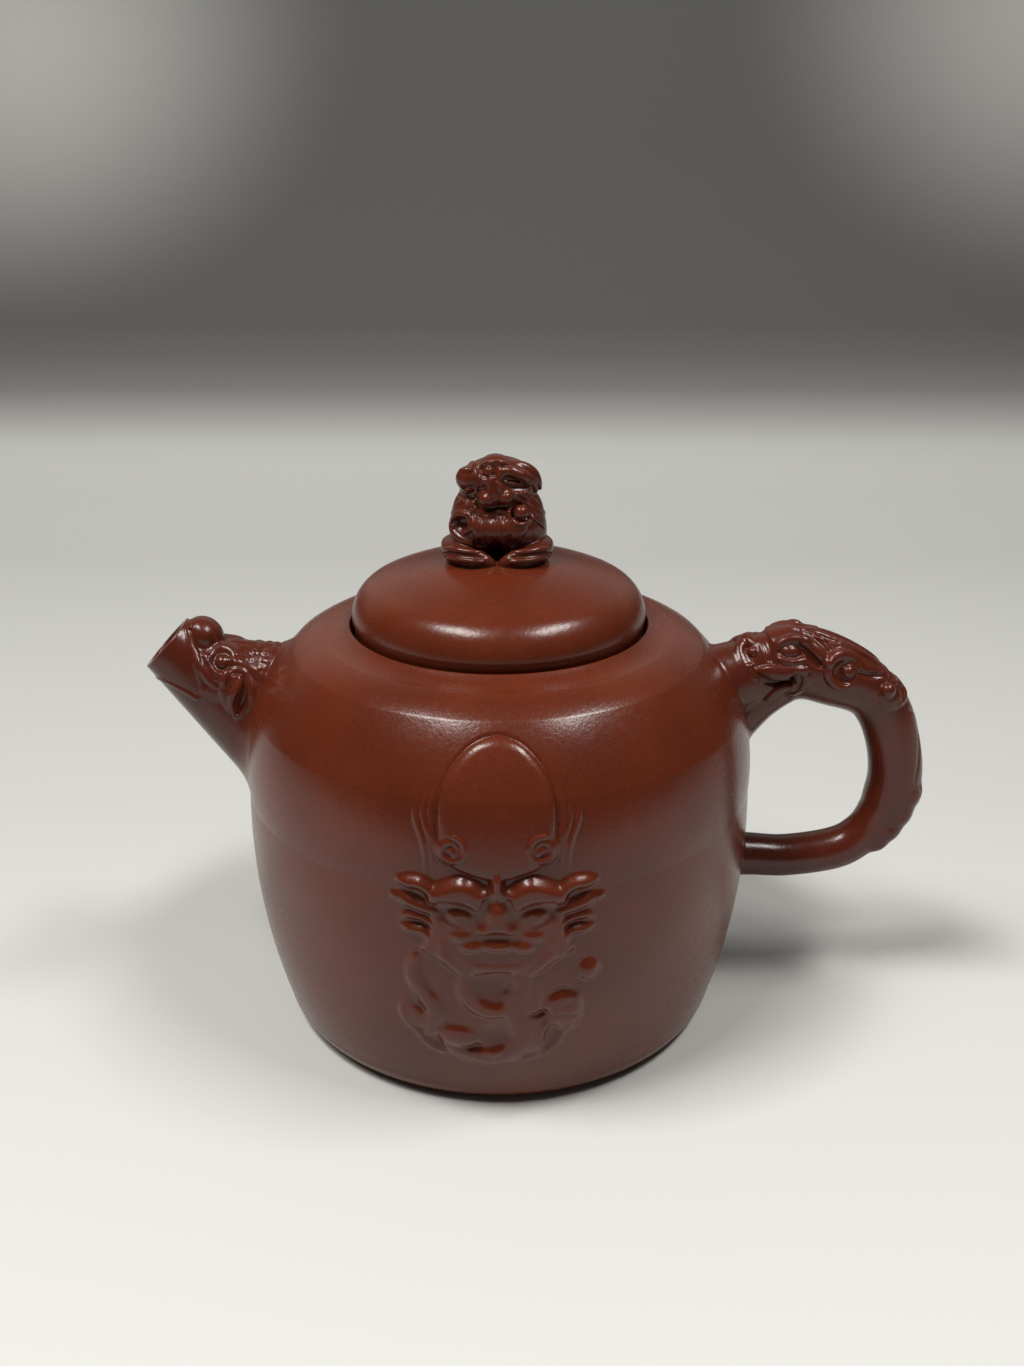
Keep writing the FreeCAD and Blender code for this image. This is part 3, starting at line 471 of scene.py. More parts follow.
class Clay:
    """A block of cells that holds distances to the surface. Clay is added and carved, then skinned."""

    FAR = 6.0
    THINNEST = 0.05
    TINY = 1e-6
    ROLL_STEP, EMBOSS_STEP = 0.8, 0.4

    def __init__(self, low, high, cell, mirrored_sides=False):
        self.cell = cell
        self.low = np.array(low, float)
        self.mirrored_sides = mirrored_sides
        counts = np.ceil((np.array(high) - self.low) / cell).astype(int) + 1
        self.field = np.full(counts, self.FAR, np.float32)

    def block(self, low, high):
        """Slices of the cells between two corners, and their coordinates."""
        first = np.maximum(np.floor((np.array(low) - self.low) / self.cell).astype(int), 0)
        last = np.minimum(np.ceil((np.array(high) - self.low) / self.cell).astype(int) + 1, self.field.shape)
        area = tuple(slice(a, b) for a, b in zip(first, last))
        grids = [np.arange(a, b, dtype=np.float32) * self.cell + start
                 for a, b, start in zip(first, last, self.low)]
        return area, grids[0][:, None, None], grids[1][None, :, None], grids[2][None, None, :]

    def cells(self):
        """Coordinates of all the cells."""
        return self.block(self.low, self.low + np.array(self.field.shape) * self.cell)[1:]

    def join(self, area, distance, softness):
        """Add clay with a fillet."""
        old = self.field[area]
        meet = np.clip(softness - np.abs(old - distance), 0, None) / softness
        self.field[area] = np.minimum(old, distance) - meet ** 2 * softness / 4

    def take(self, distance, softness):
        """Carve clay away everywhere, with a rounded edge."""
        area = (slice(None),) * 3
        old = self.field[area]
        meet = np.clip(softness - np.abs(old + distance), 0, None) / softness
        self.field[area] = np.maximum(old, -distance) + meet ** 2 * softness / 4

    def lump(self, centre, halves, lean=0, softness=0.8):
        """An ellipsoid, leaning by degrees in the plane of spout and handle."""
        centre, halves = np.array(centre, float), np.array(halves, float)
        reach = halves.max() + softness + 3 * self.cell
        area, x, y, z = self.block(centre - reach, centre + reach)
        if 0 in self.field[area].shape:
            return
        x, y, z = x - centre[0], y - centre[1], z - centre[2]
        c, s = math.cos(math.radians(lean)), math.sin(math.radians(lean))
        x, z = x * c + z * s, z * c - x * s
        near = np.sqrt((x / halves[0]) ** 2 + (y / halves[1]) ** 2 + (z / halves[2]) ** 2)
        slope = np.sqrt((x / halves[0] ** 2) ** 2 + (y / halves[1] ** 2) ** 2 + (z / halves[2] ** 2) ** 2)
        self.join(area, near * (near - 1) / np.maximum(slope, self.TINY), softness)

    def ball(self, centre, radius, softness=0.4):
        self.lump(centre, (radius, radius, radius), softness=softness)

    def around(self, stations, margin):
        """Slices of the cells round a curve of stations."""
        return self.block(stations[:, :3].min(0) - margin, stations[:, :3].max(0) + margin)[0]

    def band(self, stations, area, margin):
        """For each step of a curve, the cells near it: their place in the area, their squared distance to the
        step, the radius at its start and how much wider it is beside them."""
        corner = np.array([part.start for part in area])
        for start, end in zip(stations, stations[1:]):
            low, high = np.minimum(start, end)[:3] - margin, np.maximum(start, end)[:3] + margin
            part, x, y, z = self.block(low, high)
            local = tuple(slice(p.start - c, p.stop - c) for p, c in zip(part, corner))
            if 0 in self.field[area][local].shape:
                continue
            step_x, step_y, step_z, widening = end - start
            length = max(step_x ** 2 + step_y ** 2 + step_z ** 2, 1e-9)
            x, y, z = x - start[0], y - start[1], z - start[2]
            t = np.clip((x * step_x + y * step_y + z * step_z) / length, 0, 1)
            squared = (x - t * step_x) ** 2 + (y - t * step_y) ** 2 + (z - t * step_z) ** 2
            yield local, squared, start[3], t * widening

    def strand(self, stations, softness=0.5, step=0.6):
        """A round band through stations of place and radius."""
        stations = smooth_line(stations, step)
        stations[:, 3] = np.maximum(stations[:, 3], self.THINNEST)
        margin = stations[:, 3].max() + softness + 3 * self.cell
        area = self.around(stations, margin)
        distance = np.full(self.field[area].shape, self.FAR, np.float32)
        for local, squared, radius, wider in self.band(stations, area, margin):
            distance[local] = np.minimum(distance[local], np.sqrt(squared) - radius - wider)
        self.join(area, distance, softness)

    def sample(self, places):
        """The field at places between the cells."""
        last = np.array(self.field.shape) - 1.001
        steps = np.clip((places - self.low) / self.cell, 0, last)
        first = steps.astype(int)
        share = steps - first
        total = np.zeros(len(places))
        for corner in np.ndindex(2, 2, 2):
            weight = np.prod(np.where(corner, share, 1 - share), axis=1)
            total += weight * self.field[tuple((first + corner).T)]
        return total

    def slope(self, places):
        """The field's slope at places, as an outward direction."""
        steps = np.eye(3) * self.cell
        slope = np.stack([self.sample(places + step) - self.sample(places - step) for step in steps], -1)
        return slope / (2 * self.cell)

    def settled(self, places):
        """Places moved onto the surface by the shortest way."""
        rounds, flattest = 4, 0.25
        places = np.array(places, float)
        for _ in range(rounds):
            slope = self.slope(places)
            steep = np.maximum((slope ** 2).sum(1), flattest)
            places -= slope * (self.sample(places) / steep)[:, None]
        return places

    def pressed(self, places):
        """Places moved onto the surface along the line of sight; those beside it go the shortest way."""
        reach, rounds, pace, back, ahead, close = 7.0, 90, 0.7, -0.3, 0.5, 0.1
        places = np.array(places, float)
        sight = places - CAMERA_PLACE
        sight /= np.linalg.norm(sight, axis=1)[:, None]
        gone = np.full(len(places), -reach)
        for _ in range(rounds):
            value = self.sample(places + sight * gone[:, None])
            gone += np.clip(pace * value, back, ahead)
            gone = np.minimum(gone, reach)
        landed = places + sight * gone[:, None]
        missed = np.abs(self.sample(landed)) > close
        landed[missed] = self.settled(places[missed])
        return landed

    def on_surface(self, stations, step, seen):
        """A smooth curve of stations laid on the surface."""
        stations = np.array(stations, float)
        stations = smooth_line(stations, step) if len(stations) > 1 else np.repeat(stations, 2, axis=0)
        stations[:, 3] = np.maximum(stations[:, 3], self.THINNEST)
        stations[:, :3] = self.pressed(stations[:, :3]) if seen else self.settled(stations[:, :3])
        return stations

    def roll(self, stations, sink, softness):
        """A roll of clay laid on the surface and sunk into it by a share of its radius."""
        stations = self.on_surface(stations, self.ROLL_STEP, seen=True)
        slope = self.slope(stations[:, :3])
        slope /= np.maximum(np.linalg.norm(slope, axis=1), self.TINY)[:, None]
        stations[:, :3] -= slope * (sink * stations[:, 3])[:, None]
        self.strand(stations, softness=softness, step=5.0)

    def stud(self, place, radius, sink=0.3, softness=0.15):
        """A ball of clay set on the surface."""
        place = self.pressed([place])
        slope = self.slope(place)[0]
        slope /= max(np.linalg.norm(slope), self.TINY)
        self.ball(place[0] - slope * sink * radius, radius, softness=softness)

    def emboss(self, stations, height, crisp=1.0, seen=True):
        """Raise the surface along a curve of places and half widths, or sink it with a height below zero."""
        stations = self.on_surface(stations, self.EMBOSS_STEP, seen)
        widest = stations[:, 3].max()
        area = self.around(stations, widest)
        amount = np.zeros(self.field[area].shape, np.float32)
        for local, squared, radius, wider in self.band(stations, area, widest):
            width = radius + wider
            rounded = np.clip(1 - squared / width ** 2, 0, 1) ** crisp * (width / widest)
            amount[local] = np.maximum(amount[local], rounded)
        self.field[area] -= height * amount

    def wall_distance(self):
        """Distance of every cell to the outside of the pot's wall, positive outside."""
        x, y, z = self.cells()
        outer = np.array(pot_outside(0.5))
        radius = np.interp(z, outer[:, 1], outer[:, 0])
        slope = np.gradient(radius[0, 0], self.cell)
        return (np.sqrt(x ** 2 + y ** 2) - radius) / np.sqrt(1 + slope ** 2)

    def grow_from_wall(self, softness, web):
        """Fillet the clay onto the wall, with a web of it kept just under the wall's surface."""
        sunk, root = 0.15, 0.9
        wall = self.wall_distance()
        own = self.field.copy()
        self.join((slice(None),) * 3, wall + sunk, softness)
        self.field = np.maximum(self.field, own - web)
        self.field = np.maximum(self.field, -(wall + root))

    def skinned(self, name, material):
        """The surface as an object, closed at the edges of the block."""
        field = self.field
        if self.mirrored_sides:
            field = np.concatenate([field, field[:, -2::-1]], axis=1)
        field = field.copy()
        for axis in range(3):
            for end in (0, -1):
                edge = [slice(None)] * 3
                edge[axis] = end
                field[tuple(edge)] = np.maximum(field[tuple(edge)], 0.5 * self.cell)
        grid = openvdb.FloatGrid(self.FAR)
        grid.copyFromArray(np.ascontiguousarray(field))
        points, quads = grid.convertToQuads(isovalue=0.0)
        points = points * self.cell + self.low
        points, quads = largest_island(points, quads)
        a, b, c = (points[quads[:, k]] for k in range(3))
        if np.einsum("ij,ij->i", a, np.cross(b, c)).sum() < 0:
            quads = quads[:, ::-1]
        return mesh_object(name, points, quads.tolist(), material)


def largest_island(points, quads):
    """Keep the faces that hang together with most of the others."""
    label = np.arange(len(points))
    while True:
        lowest = label[quads].min(1)
        fresh = label.copy()
        np.minimum.at(fresh, quads.ravel(), np.repeat(lowest, 4))
        fresh = fresh[fresh]
        if (fresh == label).all():
            break
        label = fresh
    counts = np.bincount(label[quads[:, 0]], minlength=len(points))
    smallest = 400
    quads = quads[counts[label[quads[:, 0]]] > smallest]
    used = np.unique(quads)
    renumber = np.zeros(len(points), int)
    renumber[used] = np.arange(len(used))
    return points[used], renumber[quads]


# materials

def new_material(name):
    """A material with its node tree, its shader and the object's own coordinates."""
    material = bpy.data.materials.new(name)
    material.use_nodes = True
    tree = material.node_tree
    place = tree.nodes.new("ShaderNodeTexCoord").outputs["Object"]
    return material, tree, tree.nodes["Principled BSDF"], place


def noise(tree, place, scale, detail, roughness=0.5):
    node = tree.nodes.new("ShaderNodeTexNoise")
    node.inputs["Scale"].default_value = scale
    node.inputs["Detail"].default_value = detail
    node.inputs["Roughness"].default_value = roughness
    tree.links.new(place, node.inputs["Vector"])
    return node.outputs["Fac"]


def ramp(tree, value, stops):
    """A colour ramp on a value; stops are position and colour."""
    node = tree.nodes.new("ShaderNodeValToRGB")
    elements = node.color_ramp.elements
    while len(elements) < len(stops):
        elements.new(0.5)
    for element, (position, colour) in zip(elements, stops):
        element.position = position
        element.color = (*colour, 1)
    tree.links.new(value, node.inputs["Fac"])
    return node.outputs["Color"]


def mixed(tree, kind, share, first, second):
    """Two colours mixed by a share; each of the three is a socket or a constant."""
    node = tree.nodes.new("ShaderNodeMix")
    node.data_type = "RGBA"
    node.blend_type = kind
    for socket, value in ((node.inputs[0], share), (node.inputs[6], first), (node.inputs[7], second)):
        if isinstance(value, (int, float, tuple)):
            socket.default_value = value
        else:
            tree.links.new(value, socket)
    return node.outputs[2]


def mapped(tree, value, low, high, first=0.0, last=1.0):
    """A value brought from low..high to first..last, smoothly where it falls."""
    node = tree.nodes.new("ShaderNodeMapRange")
    node.interpolation_type = "SMOOTHSTEP" if first > last else "LINEAR"
    node.inputs["From Min"].default_value = low
    node.inputs["From Max"].default_value = high
    node.inputs["To Min"].default_value = first
    node.inputs["To Max"].default_value = last
    tree.links.new(value, node.inputs["Value"])
    return node.outputs["Result"]


# Clay: noise scales per metre, tones as factors on the colour

CLOUD_SCALE, FLECK_SCALE, DUST_SCALE, GLOSS_SCALE, GRAIN_SCALE = 45, 1500, 2600, 900, 1500
FLECK_TONES = ((0.10, (1.9, 1.6, 1.4)), (0.24, (1, 1, 1)))
DUST_TONES = ((0.3, (0.80, 0.80, 0.80)), (0.7, (1.16, 1.14, 1.12)))
# Painted shade: tones by pointiness, dark in hollows and pale on edges
HOLLOW_SHADE_AND_EDGE_TONES = ((0.40, (0.45, 0.42, 0.42)), (0.50, (1, 1, 1)), (0.62, (1.25, 1.18, 1.14)))
FLECK_SHARE, DUST_SHARE = 0.22, 0.8
GLOSS_BELOW, GLOSS_ABOVE = 0.07, 0.09
CLAY_SPECULAR, GRAIN_DEPTH = 0.42, 0.00009


def clay_colour(tree, place, red, dark, hollow_shade_share):
    """Mottled colour with pale flecks and dust, with painted shade that darkens the hollows and makes the
    edges paler.
    """
    cloud = ramp(tree, noise(tree, place, CLOUD_SCALE, 3), ((0.35, dark), (0.65, red)))
    specks = tree.nodes.new("ShaderNodeTexVoronoi")
    specks.inputs["Scale"].default_value = FLECK_SCALE
    tree.links.new(place, specks.inputs["Vector"])
    flecked = mixed(tree, "MULTIPLY", FLECK_SHARE, cloud, ramp(tree, specks.outputs["Distance"], FLECK_TONES))
    dust = ramp(tree, noise(tree, place, DUST_SCALE, 2, 0.7), DUST_TONES)
    # Painted shade in the hollows and paler edges, from the surface's pointiness
    crease = tree.nodes.new("ShaderNodeNewGeometry")
    hollow_shade = ramp(tree, crease.outputs["Pointiness"], HOLLOW_SHADE_AND_EDGE_TONES)
    return mixed(tree, "MULTIPLY", hollow_shade_share, mixed(tree, "MULTIPLY", DUST_SHARE, flecked, dust), hollow_shade)


def clay_material(name, red, dark, roughness, grain, hollow_shade_share):
    """Burnished stoneware clay with a pebbled surface."""
    material, tree, shader, place = new_material(name)
    tree.links.new(clay_colour(tree, place, red, dark, hollow_shade_share), shader.inputs["Base Color"])
    uneven = noise(tree, place, GLOSS_SCALE, 3)
    rough = mapped(tree, uneven, 0, 1, roughness - GLOSS_BELOW, roughness + GLOSS_ABOVE)
    tree.links.new(rough, shader.inputs["Roughness"])
    shader.inputs["Specular IOR Level"].default_value = CLAY_SPECULAR
    bump = tree.nodes.new("ShaderNodeBump")
    bump.inputs["Strength"].default_value = grain
    bump.inputs["Distance"].default_value = GRAIN_DEPTH
    tree.links.new(noise(tree, place, GRAIN_SCALE, 2, 0.6), bump.inputs["Height"])
    tree.links.new(bump.outputs["Normal"], shader.inputs["Normal"])
    return material


def polished_clay():
    return clay_material("polished_clay", (0.118, 0.021, 0.0075), (0.092, 0.016, 0.006), 0.24, 0.35, 0.3)


# The carved clay's last number gives it strong painted shade in its hollows
def carved_clay():
    return clay_material("carved_clay", (0.098, 0.018, 0.008), (0.066, 0.012, 0.006), 0.23, 0.4, 0.9)


def raw_clay():
    return clay_material("raw_clay", (0.150, 0.050, 0.030), (0.120, 0.040, 0.024), 0.72, 0.5, 0.3)


polished, carved, raw = polished_clay(), carved_clay(), raw_clay()


# pot

def pot_outside(spacing):
    """Outside of the pot from the foot to the collar, as radius and height."""
    points = [FOOT]
    points += arc(FOOT, FOOT_EDGE, HEEL, spacing)
    points += arc(HEEL, FLANK, BELLY, spacing)
    points += arc(BELLY, BREAST, TURN, spacing)
    points += arc(TURN, SHOULDER, SEAM, spacing)
    points += arc(SEAM, CROWN, COLLAR_FOOT, spacing)
    return points


def pot_inside(start):
    """From the collar's foot over the rim, the seat and the inside down to the base disc's seat."""
    collar_rise = COLLAR_TOP[1] - COLLAR_FOOT[1]
    collar_middle = ((COLLAR_FOOT[0] + COLLAR_TOP[0]) / 2, COLLAR_FOOT[1] + 0.3 * collar_rise)
    collar_end = (COLLAR_TOP[0] + RIM_ROUND, COLLAR_TOP[1] - 0.4 * RIM_ROUND)
    rest = arc(start, collar_middle, collar_end, 0.4)
    rest += arc(collar_end, COLLAR_TOP, (MOUTH_RADIUS, COLLAR_TOP[1] - 2 * RIM_ROUND), 0.15)
    rest += line(rest[-1], (MOUTH_RADIUS, SEAT_HEIGHT), 0.8)
    under_disc = (SEAM[0] - 0.6 * WALL, DISC_UNDER)
    for corner in ((THROAT_RADIUS, SEAT_HEIGHT), (THROAT_RADIUS, DISC_UNDER), under_disc):
        rest += line(rest[-1], corner, COARSE)
    shoulder_in = (SHOULDER[0] - 0.95 * WALL, SHOULDER[1] - 0.55 * WALL)
    turn_in = (TURN[0] - 0.97 * WALL, TURN[1] - 0.3 * WALL)
    belly_in, breast_in, flank_in = ((radius - WALL, height) for radius, height in (BELLY, BREAST, FLANK))
    heel_in = (HEEL[0] - WALL, HEEL[1] + 0.6 * WALL)
    rest += arc(rest[-1], shoulder_in, turn_in, COARSE)
    rest += arc(turn_in, breast_in, belly_in, COARSE)
    rest += arc(belly_in, flank_in, heel_in, COARSE)
    rest += line(heel_in, (BASE_RADIUS, BASE_TOP), COARSE)
    return rest + line(rest[-1], (BASE_RADIUS, 0), COARSE)


def carved_heights(front_angles, outside):
    """Heights of the relief over the front of the wall."""
    lengths = np.concatenate([[0], np.cumsum(np.linalg.norm(np.diff(outside, axis=0), axis=1))])
    relief = Relief(front_angles * BELLY[0], lengths, outside[:, 1])
    carve_body(relief)
    relief.raised *= BODY_RELIEF_SHARE
    carve_face(relief)
    relief.soften(RELIEF_SOFTENINGS)
    carve_headdress(relief)
    return relief.raised


def outward(front_angles, outside):
    """Directions straight out of the wall over its front."""
    steps = np.gradient(outside, axis=0)
    normals = np.stack([steps[:, 1], -steps[:, 0]], -1)
    normals /= np.linalg.norm(normals, axis=1)[:, None]
    return np.stack([
        normals[None, :, 0] * np.sin(front_angles)[:, None],
        -normals[None, :, 0] * np.cos(front_angles)[:, None],
        np.broadcast_to(normals[None, :, 1], (len(front_angles), len(outside))),
    ], -1)


def pot_mesh():
    """Wall, shoulder and collar in one, fine where the relief is."""
    outer = pot_outside(FINE)
    front_count = round(2 * RELIEF_HALF_ANGLE * BELLY[0] / FINE) + 1
    front = np.linspace(-RELIEF_HALF_ANGLE, RELIEF_HALF_ANGLE, front_count)
    back_count = round((2 * math.pi - 2 * RELIEF_HALF_ANGLE) / BACK_STEP)
    back = np.linspace(RELIEF_HALF_ANGLE, 2 * math.pi - RELIEF_HALF_ANGLE, back_count)
    rows = round_rows(outer + pot_inside(COLLAR_FOOT), np.concatenate([front, back[1:-1]]))
    outside = np.array(outer)
    rows[:len(front), :len(outer)] += outward(front, outside) * carved_heights(front, outside)[..., None]
    item = turned("pot_wall", rows, polished)
    outlet_height = TIP[2] - (-TIP[0] - BELLY[0] + WALL)
    bore(item, (-BELLY[0] - WALL, 0, outlet_height), (-BELLY[0] + 8, 0, outlet_height), OUTLET_RADIUS)
    return item


def lid_mesh():
    """Dome, rim, flange and the hollow under them, with the vent hole."""
    foot_middle = ((LID_FOOT[0] + LID_EDGE[0]) / 2, LID_FOOT[1] + 0.4 * (LID_EDGE[1] - LID_FOOT[1]))
    outline = [(0.4, LID_TOP)]
    outline += arc(outline[-1], LID_CROWN, LID_SLOPE, 0.5)
    outline += arc(LID_SLOPE, LID_BULGE, LID_EDGE, 0.4)
    outline += arc(LID_EDGE, foot_middle, LID_FOOT, 0.5)
    for corner in ((FLANGE_RADIUS, LID_FOOT[1]), (FLANGE_RADIUS, FLANGE_FOOT), (HOLLOW_RADIUS, FLANGE_FOOT),
                   (HOLLOW_RADIUS, LID_EDGE[1] - WALL)):
        outline += line(outline[-1], corner, 1.0)
    outline += arc(outline[-1], (LID_CROWN[0], LID_CROWN[1] - WALL), (0.4, LID_TOP - WALL), 1.0)
    angles = np.linspace(0, 2 * math.pi, LID_SIDES, endpoint=False)
    item = turned("lid_dome_shell", round_rows(outline, angles), polished)
    bore(item, (0, VENT_PLACE, LID_TOP - 8), (0, VENT_PLACE, LID_TOP + 2), VENT_RADIUS, 24)
    return item


# spout with its dragon's head

def beside(stations):
    """Stations of a band on the front side."""
    return [(x, -y, z, radius) for x, y, z, radius in stations]


def front(depth, *stations):
    """Stations written as place across, height and radius in one upright plane in front of the middle."""
    return [(x, -depth, z, radius) for x, z, radius in stations]


def spout_distance(x, y, z, shrink):
    """Distance to the spout's cone."""
    x, z = x - TIP[0], z - TIP[2]
    along = x * SPOUT_AIM[0] + z * SPOUT_AIM[2]
    out = np.sqrt((x - along * SPOUT_AIM[0]) ** 2 + y ** 2 + (z - along * SPOUT_AIM[2]) ** 2)
    return along, (out - (TIP_RADIUS - shrink) - FLARE * along) / math.sqrt(1 + FLARE ** 2)


def spout_head(clay):
    """Arched head that runs back to the shoulder, cheek and the ball of the nose."""
    clay.strand([(-53.4, 0, 70.3, 6.3), (-48, 0, 69.7, 6.35), (-38, 0, 68.9, 6.1)], softness=2.2, step=1)
    clay.strand(beside([(-57.2, 4.2, 72.8, 2.2), (-53.4, 4.9, 70.4, 2.6), (-49, 5, 68.6, 2.6)]), softness=2)
    clay.lump((-57.5, 0, 77.9), (3.9, 4, 3.2), lean=-40, softness=1)
    clay.stud((-59, -4.5, 80.9), 0.5, sink=0.2, softness=0.3)


def spout_upper_lip(clay):
    """Raised upper lip and the valley behind it."""
    clay.emboss(front(7, (-57.4, 75.9, 0.5), (-56.3, 74, 1), (-55.3, 72.4, 0.9), (-53.9, 71.2, 0.5)), -0.45,
            crisp=1.5)
    clay.roll(front(6, (-59.3, 81, 0.3), (-59.1, 79.6, 0.55), (-58.9, 78, 0.7), (-58.2, 75.8, 0.8),
            (-57.6, 73.6, 0.8), (-56.6, 71.2, 0.75), (-55.6, 69.8, 0.6), (-54.6, 69.2, 0.35)), sink=0.45,
            softness=0.45)
    clay.emboss(front(6, (-59.2, 77.4, 0.3), (-58.7, 74, 0.5), (-57.8, 70.4, 0.55), (-57.6, 67.6, 0.5)),
            0.16)


def spout_cheek(clay):
    """Cheek and the jaw's edge over the tube."""
    clay.emboss(front(8, (-55.8, 76.4, 0.8), (-55.7, 74.4, 1), (-54.7, 72.4, 1.1), (-53, 71.5, 0.8)), 0.5,
            crisp=1.3)
    clay.emboss(front(6, (-57, 68.6, 1.2), (-55, 67.6, 1.8), (-53, 67.4, 1.4)), 0.35, crisp=1.5)


def spout_lower_lip(clay):
    """Lower lip, a thin line that comes round from under the tube."""
    clay.emboss([(-67.6, 0, 69.4, 0.45), (-66.8, -3, 69.8, 0.45), (-65.2, -5.8, 70.2, 0.45)], 0.3,
            seen=False)
    clay.emboss(front(5, (-65.4, 69.9, 0.45), (-64.5, 69.7, 0.5), (-62.5, 68.5, 0.55), (-60.6, 67.3, 0.55),
            (-59.1, 66.2, 0.5), (-58.2, 66.5, 0.3)), 0.4, crisp=0.8)


def spout_eye(clay):
    """Eye under a knotted brow."""
    clay.emboss(front(8.5, (-52.6, 75.2, 2.3)), -0.7)
    clay.stud((-52.6, -8.5, 75.3), 1.75, sink=0.25)
    clay.roll(front(8, (-55.2, 76.2, 0.4), (-54.3, 77.6, 0.85), (-52.7, 78.3, 1.2), (-51.2, 77.8, 1.3),
            (-50.4, 76.6, 1.1), (-50.3, 75, 0.7)), sink=0.45, softness=0.7)
    clay.emboss(front(8, (-55.6, 75.4, 0.4), (-54.9, 73.6, 0.6), (-53.6, 72.6, 0.6), (-52, 72.7, 0.4)), 0.4)
    clay.roll(front(8, (-50.8, 75.4, 0.6), (-49.8, 74.9, 1.1), (-48.2, 74.1, 1.2), (-46.6, 73.1, 0.9),
            (-45.4, 72.2, 0.3)), sink=0.45, softness=0.9)


def spout_ear(clay):
    """A leaf with a rolled rim, a curled strand inside and a dark gap behind the strand."""
    clay.emboss(front(9, (-50.3, 71.4, 1.9), (-50.1, 69, 2.5), (-50.2, 66.6, 1.8), (-50.8, 64.4, 0.6)), 0.9,
            crisp=0.7)
    clay.emboss(front(10, (-48.5, 71.3, 0.5), (-48.5, 69.6, 0.85), (-49.2, 67.4, 0.85), (-50.2, 65.2, 0.5)),
            -1.7, crisp=0.8)
    clay.roll(front(9, (-52.1, 65.6, 0.4), (-52.9, 67.9, 0.7), (-52.8, 70.9, 0.9), (-52, 72.8, 1),
            (-50.3, 73.8, 1.05), (-48.5, 73.1, 1), (-47.5, 70.6, 0.9), (-47.7, 68, 0.8), (-49.1, 65.4, 0.6),
            (-50.8, 63.8, 0.3)), sink=0.35, softness=0.3)
    clay.roll(front(10, (-50.4, 71.6, 0.6), (-50.3, 72.6, 0.8), (-49.6, 72.6, 0.85), (-49.9, 70.9, 0.95),
            (-51, 69, 1), (-51.4, 67, 0.8), (-50.9, 64.8, 0.35)), sink=0.15, softness=0.25)


def spout_scales(clay):
    """Low scales, and the line where the head's clay ends."""
    for place in ((-46.7, 76.8), (-47.8, 75.4), (-45.6, 78.2), (-44.8, 75.0), (-44.6, 76.8), (-45.5, 73.6)):
        clay.emboss(front(7, place + (1,)), 0.3, crisp=1.6)
    clay.emboss([(-52, 0, 77.2, 0.6), (-50, 0, 77, 0.9), (-46, 0, 76.4, 0.8), (-42.6, 0, 75.6, 0.5)], 0.25,
            seen=False)
    clay.emboss(front(7, (-41.8, 78.6, 0.5), (-42.2, 77, 0.5), (-43.3, 74.6, 0.5), (-44.9, 71.1, 0.5),
            (-45.9, 67.2, 0.4)), -0.2)
    clay.emboss(front(7, (-42.8, 78.6, 0.5), (-43.2, 77, 0.5), (-44.3, 74.6, 0.5), (-45.9, 71.1, 0.5),
            (-46.9, 67.2, 0.4)), 0.2)


def spout_mesh():
    """The spout's tube and the head that it comes out of, with the bore through both."""
    clay = Clay((-71.5, -15, 44), (-36, 0, 86), 0.2, mirrored_sides=True)
    x, y, z = clay.cells()
    along, tube = spout_distance(x, y, z, 0)
    leaning = RIM_TILT * ((x - TIP[0]) * SPOUT_AIM[0] - (z - TIP[2]) * SPOUT_AIM[2])
    clay.field = np.maximum(tube, -along - leaning).astype(np.float32)
    for shape in (spout_head, spout_upper_lip, spout_cheek, spout_lower_lip, spout_eye, spout_ear,
                  spout_scales):
        shape(clay)
    clay.grow_from_wall(softness=3, web=3)
    _, hole = spout_distance(x, y, z, SPOUT_WALL)
    clay.take(hole.astype(np.float32), 0.4)
    return clay.skinned("spout_and_dragon_head", carved)


# handle with its dragon's head

HANDLE_LINE = [
    (40, 66.5, 6.6), (48.2, 68.6, 6.2), (54.2, 70.8, 5.8), (63.3, 70.3, 5.5), (73.4, 65.2, 4.8),
    (78.8, 56.1, 4.9), (80.8, 46.6, 5.1), (77.9, 37.6, 4.5), (74.4, 33.1, 4.2), (69.4, 30.2, 4.3),
    (59.8, 28.6, 4.3), (52, 28.9, 4.4), (43.5, 29.3, 5),
]
NECK_LINE = [(39, 66.8, 7.5), (44, 68, 7.3), (47.2, 69.2, 6.9)]
HEAD_LINE = [
    (50, 70.2, 5.6), (54.6, 72.9, 6.4), (58.5, 72.4, 6.9), (65.9, 69.9, 6.7), (73.6, 66.3, 5.4),
    (77.8, 61, 4.9), (79.5, 55.3, 5), (80.4, 48, 5), (80, 43, 5),
]
WEB_LINE = [(46.1, 58.6, 5), (48.6, 61.9, 5), (51, 64.3, 4.8), (54, 66, 4.2), (57.2, 67.9, 4)]


def middle_line(stations):
    """Stations of the symmetry plane."""
    return [(x, 0, z, radius) for x, z, radius in stations]


def handle_nose(clay):
    """A roll across the snout that curls down round the nostrils on both sides."""
    clay.strand([(48.6, 0.6, 76.8, 1.3), (48.9, -0.8, 76.6, 1.3), (49.9, -1.8, 76.1, 1.3),
            (51, -2.7, 75.3, 1.15), (51.2, -3.6, 74.2, 1), (50.4, -4.4, 73.4, 0.7)], softness=0.3)
    clay.strand([(48.6, 0.6, 76.8, 1.3), (47.5, -0.8, 76, 1.3), (46.8, -2.3, 75, 1.2),
            (47.3, -4.2, 73.5, 1), (48.4, -5.3, 72.2, 0.9), (49.4, -5.8, 71, 0.6)], softness=0.4)
    clay.ball((49.3, -3.3, 75.3), 1.15, softness=0.1)
    clay.emboss([(51.9, 0, 77.6, 1.1), (52, -2.2, 77.2, 1.1), (52.4, -4.2, 76.2, 1.2),
            (52.4, -5.6, 74.8, 0.9)], -1, crisp=1.4, seen=False)
    clay.stud((48.4, -7, 73.9), 0.75, sink=0.3, softness=0.3)


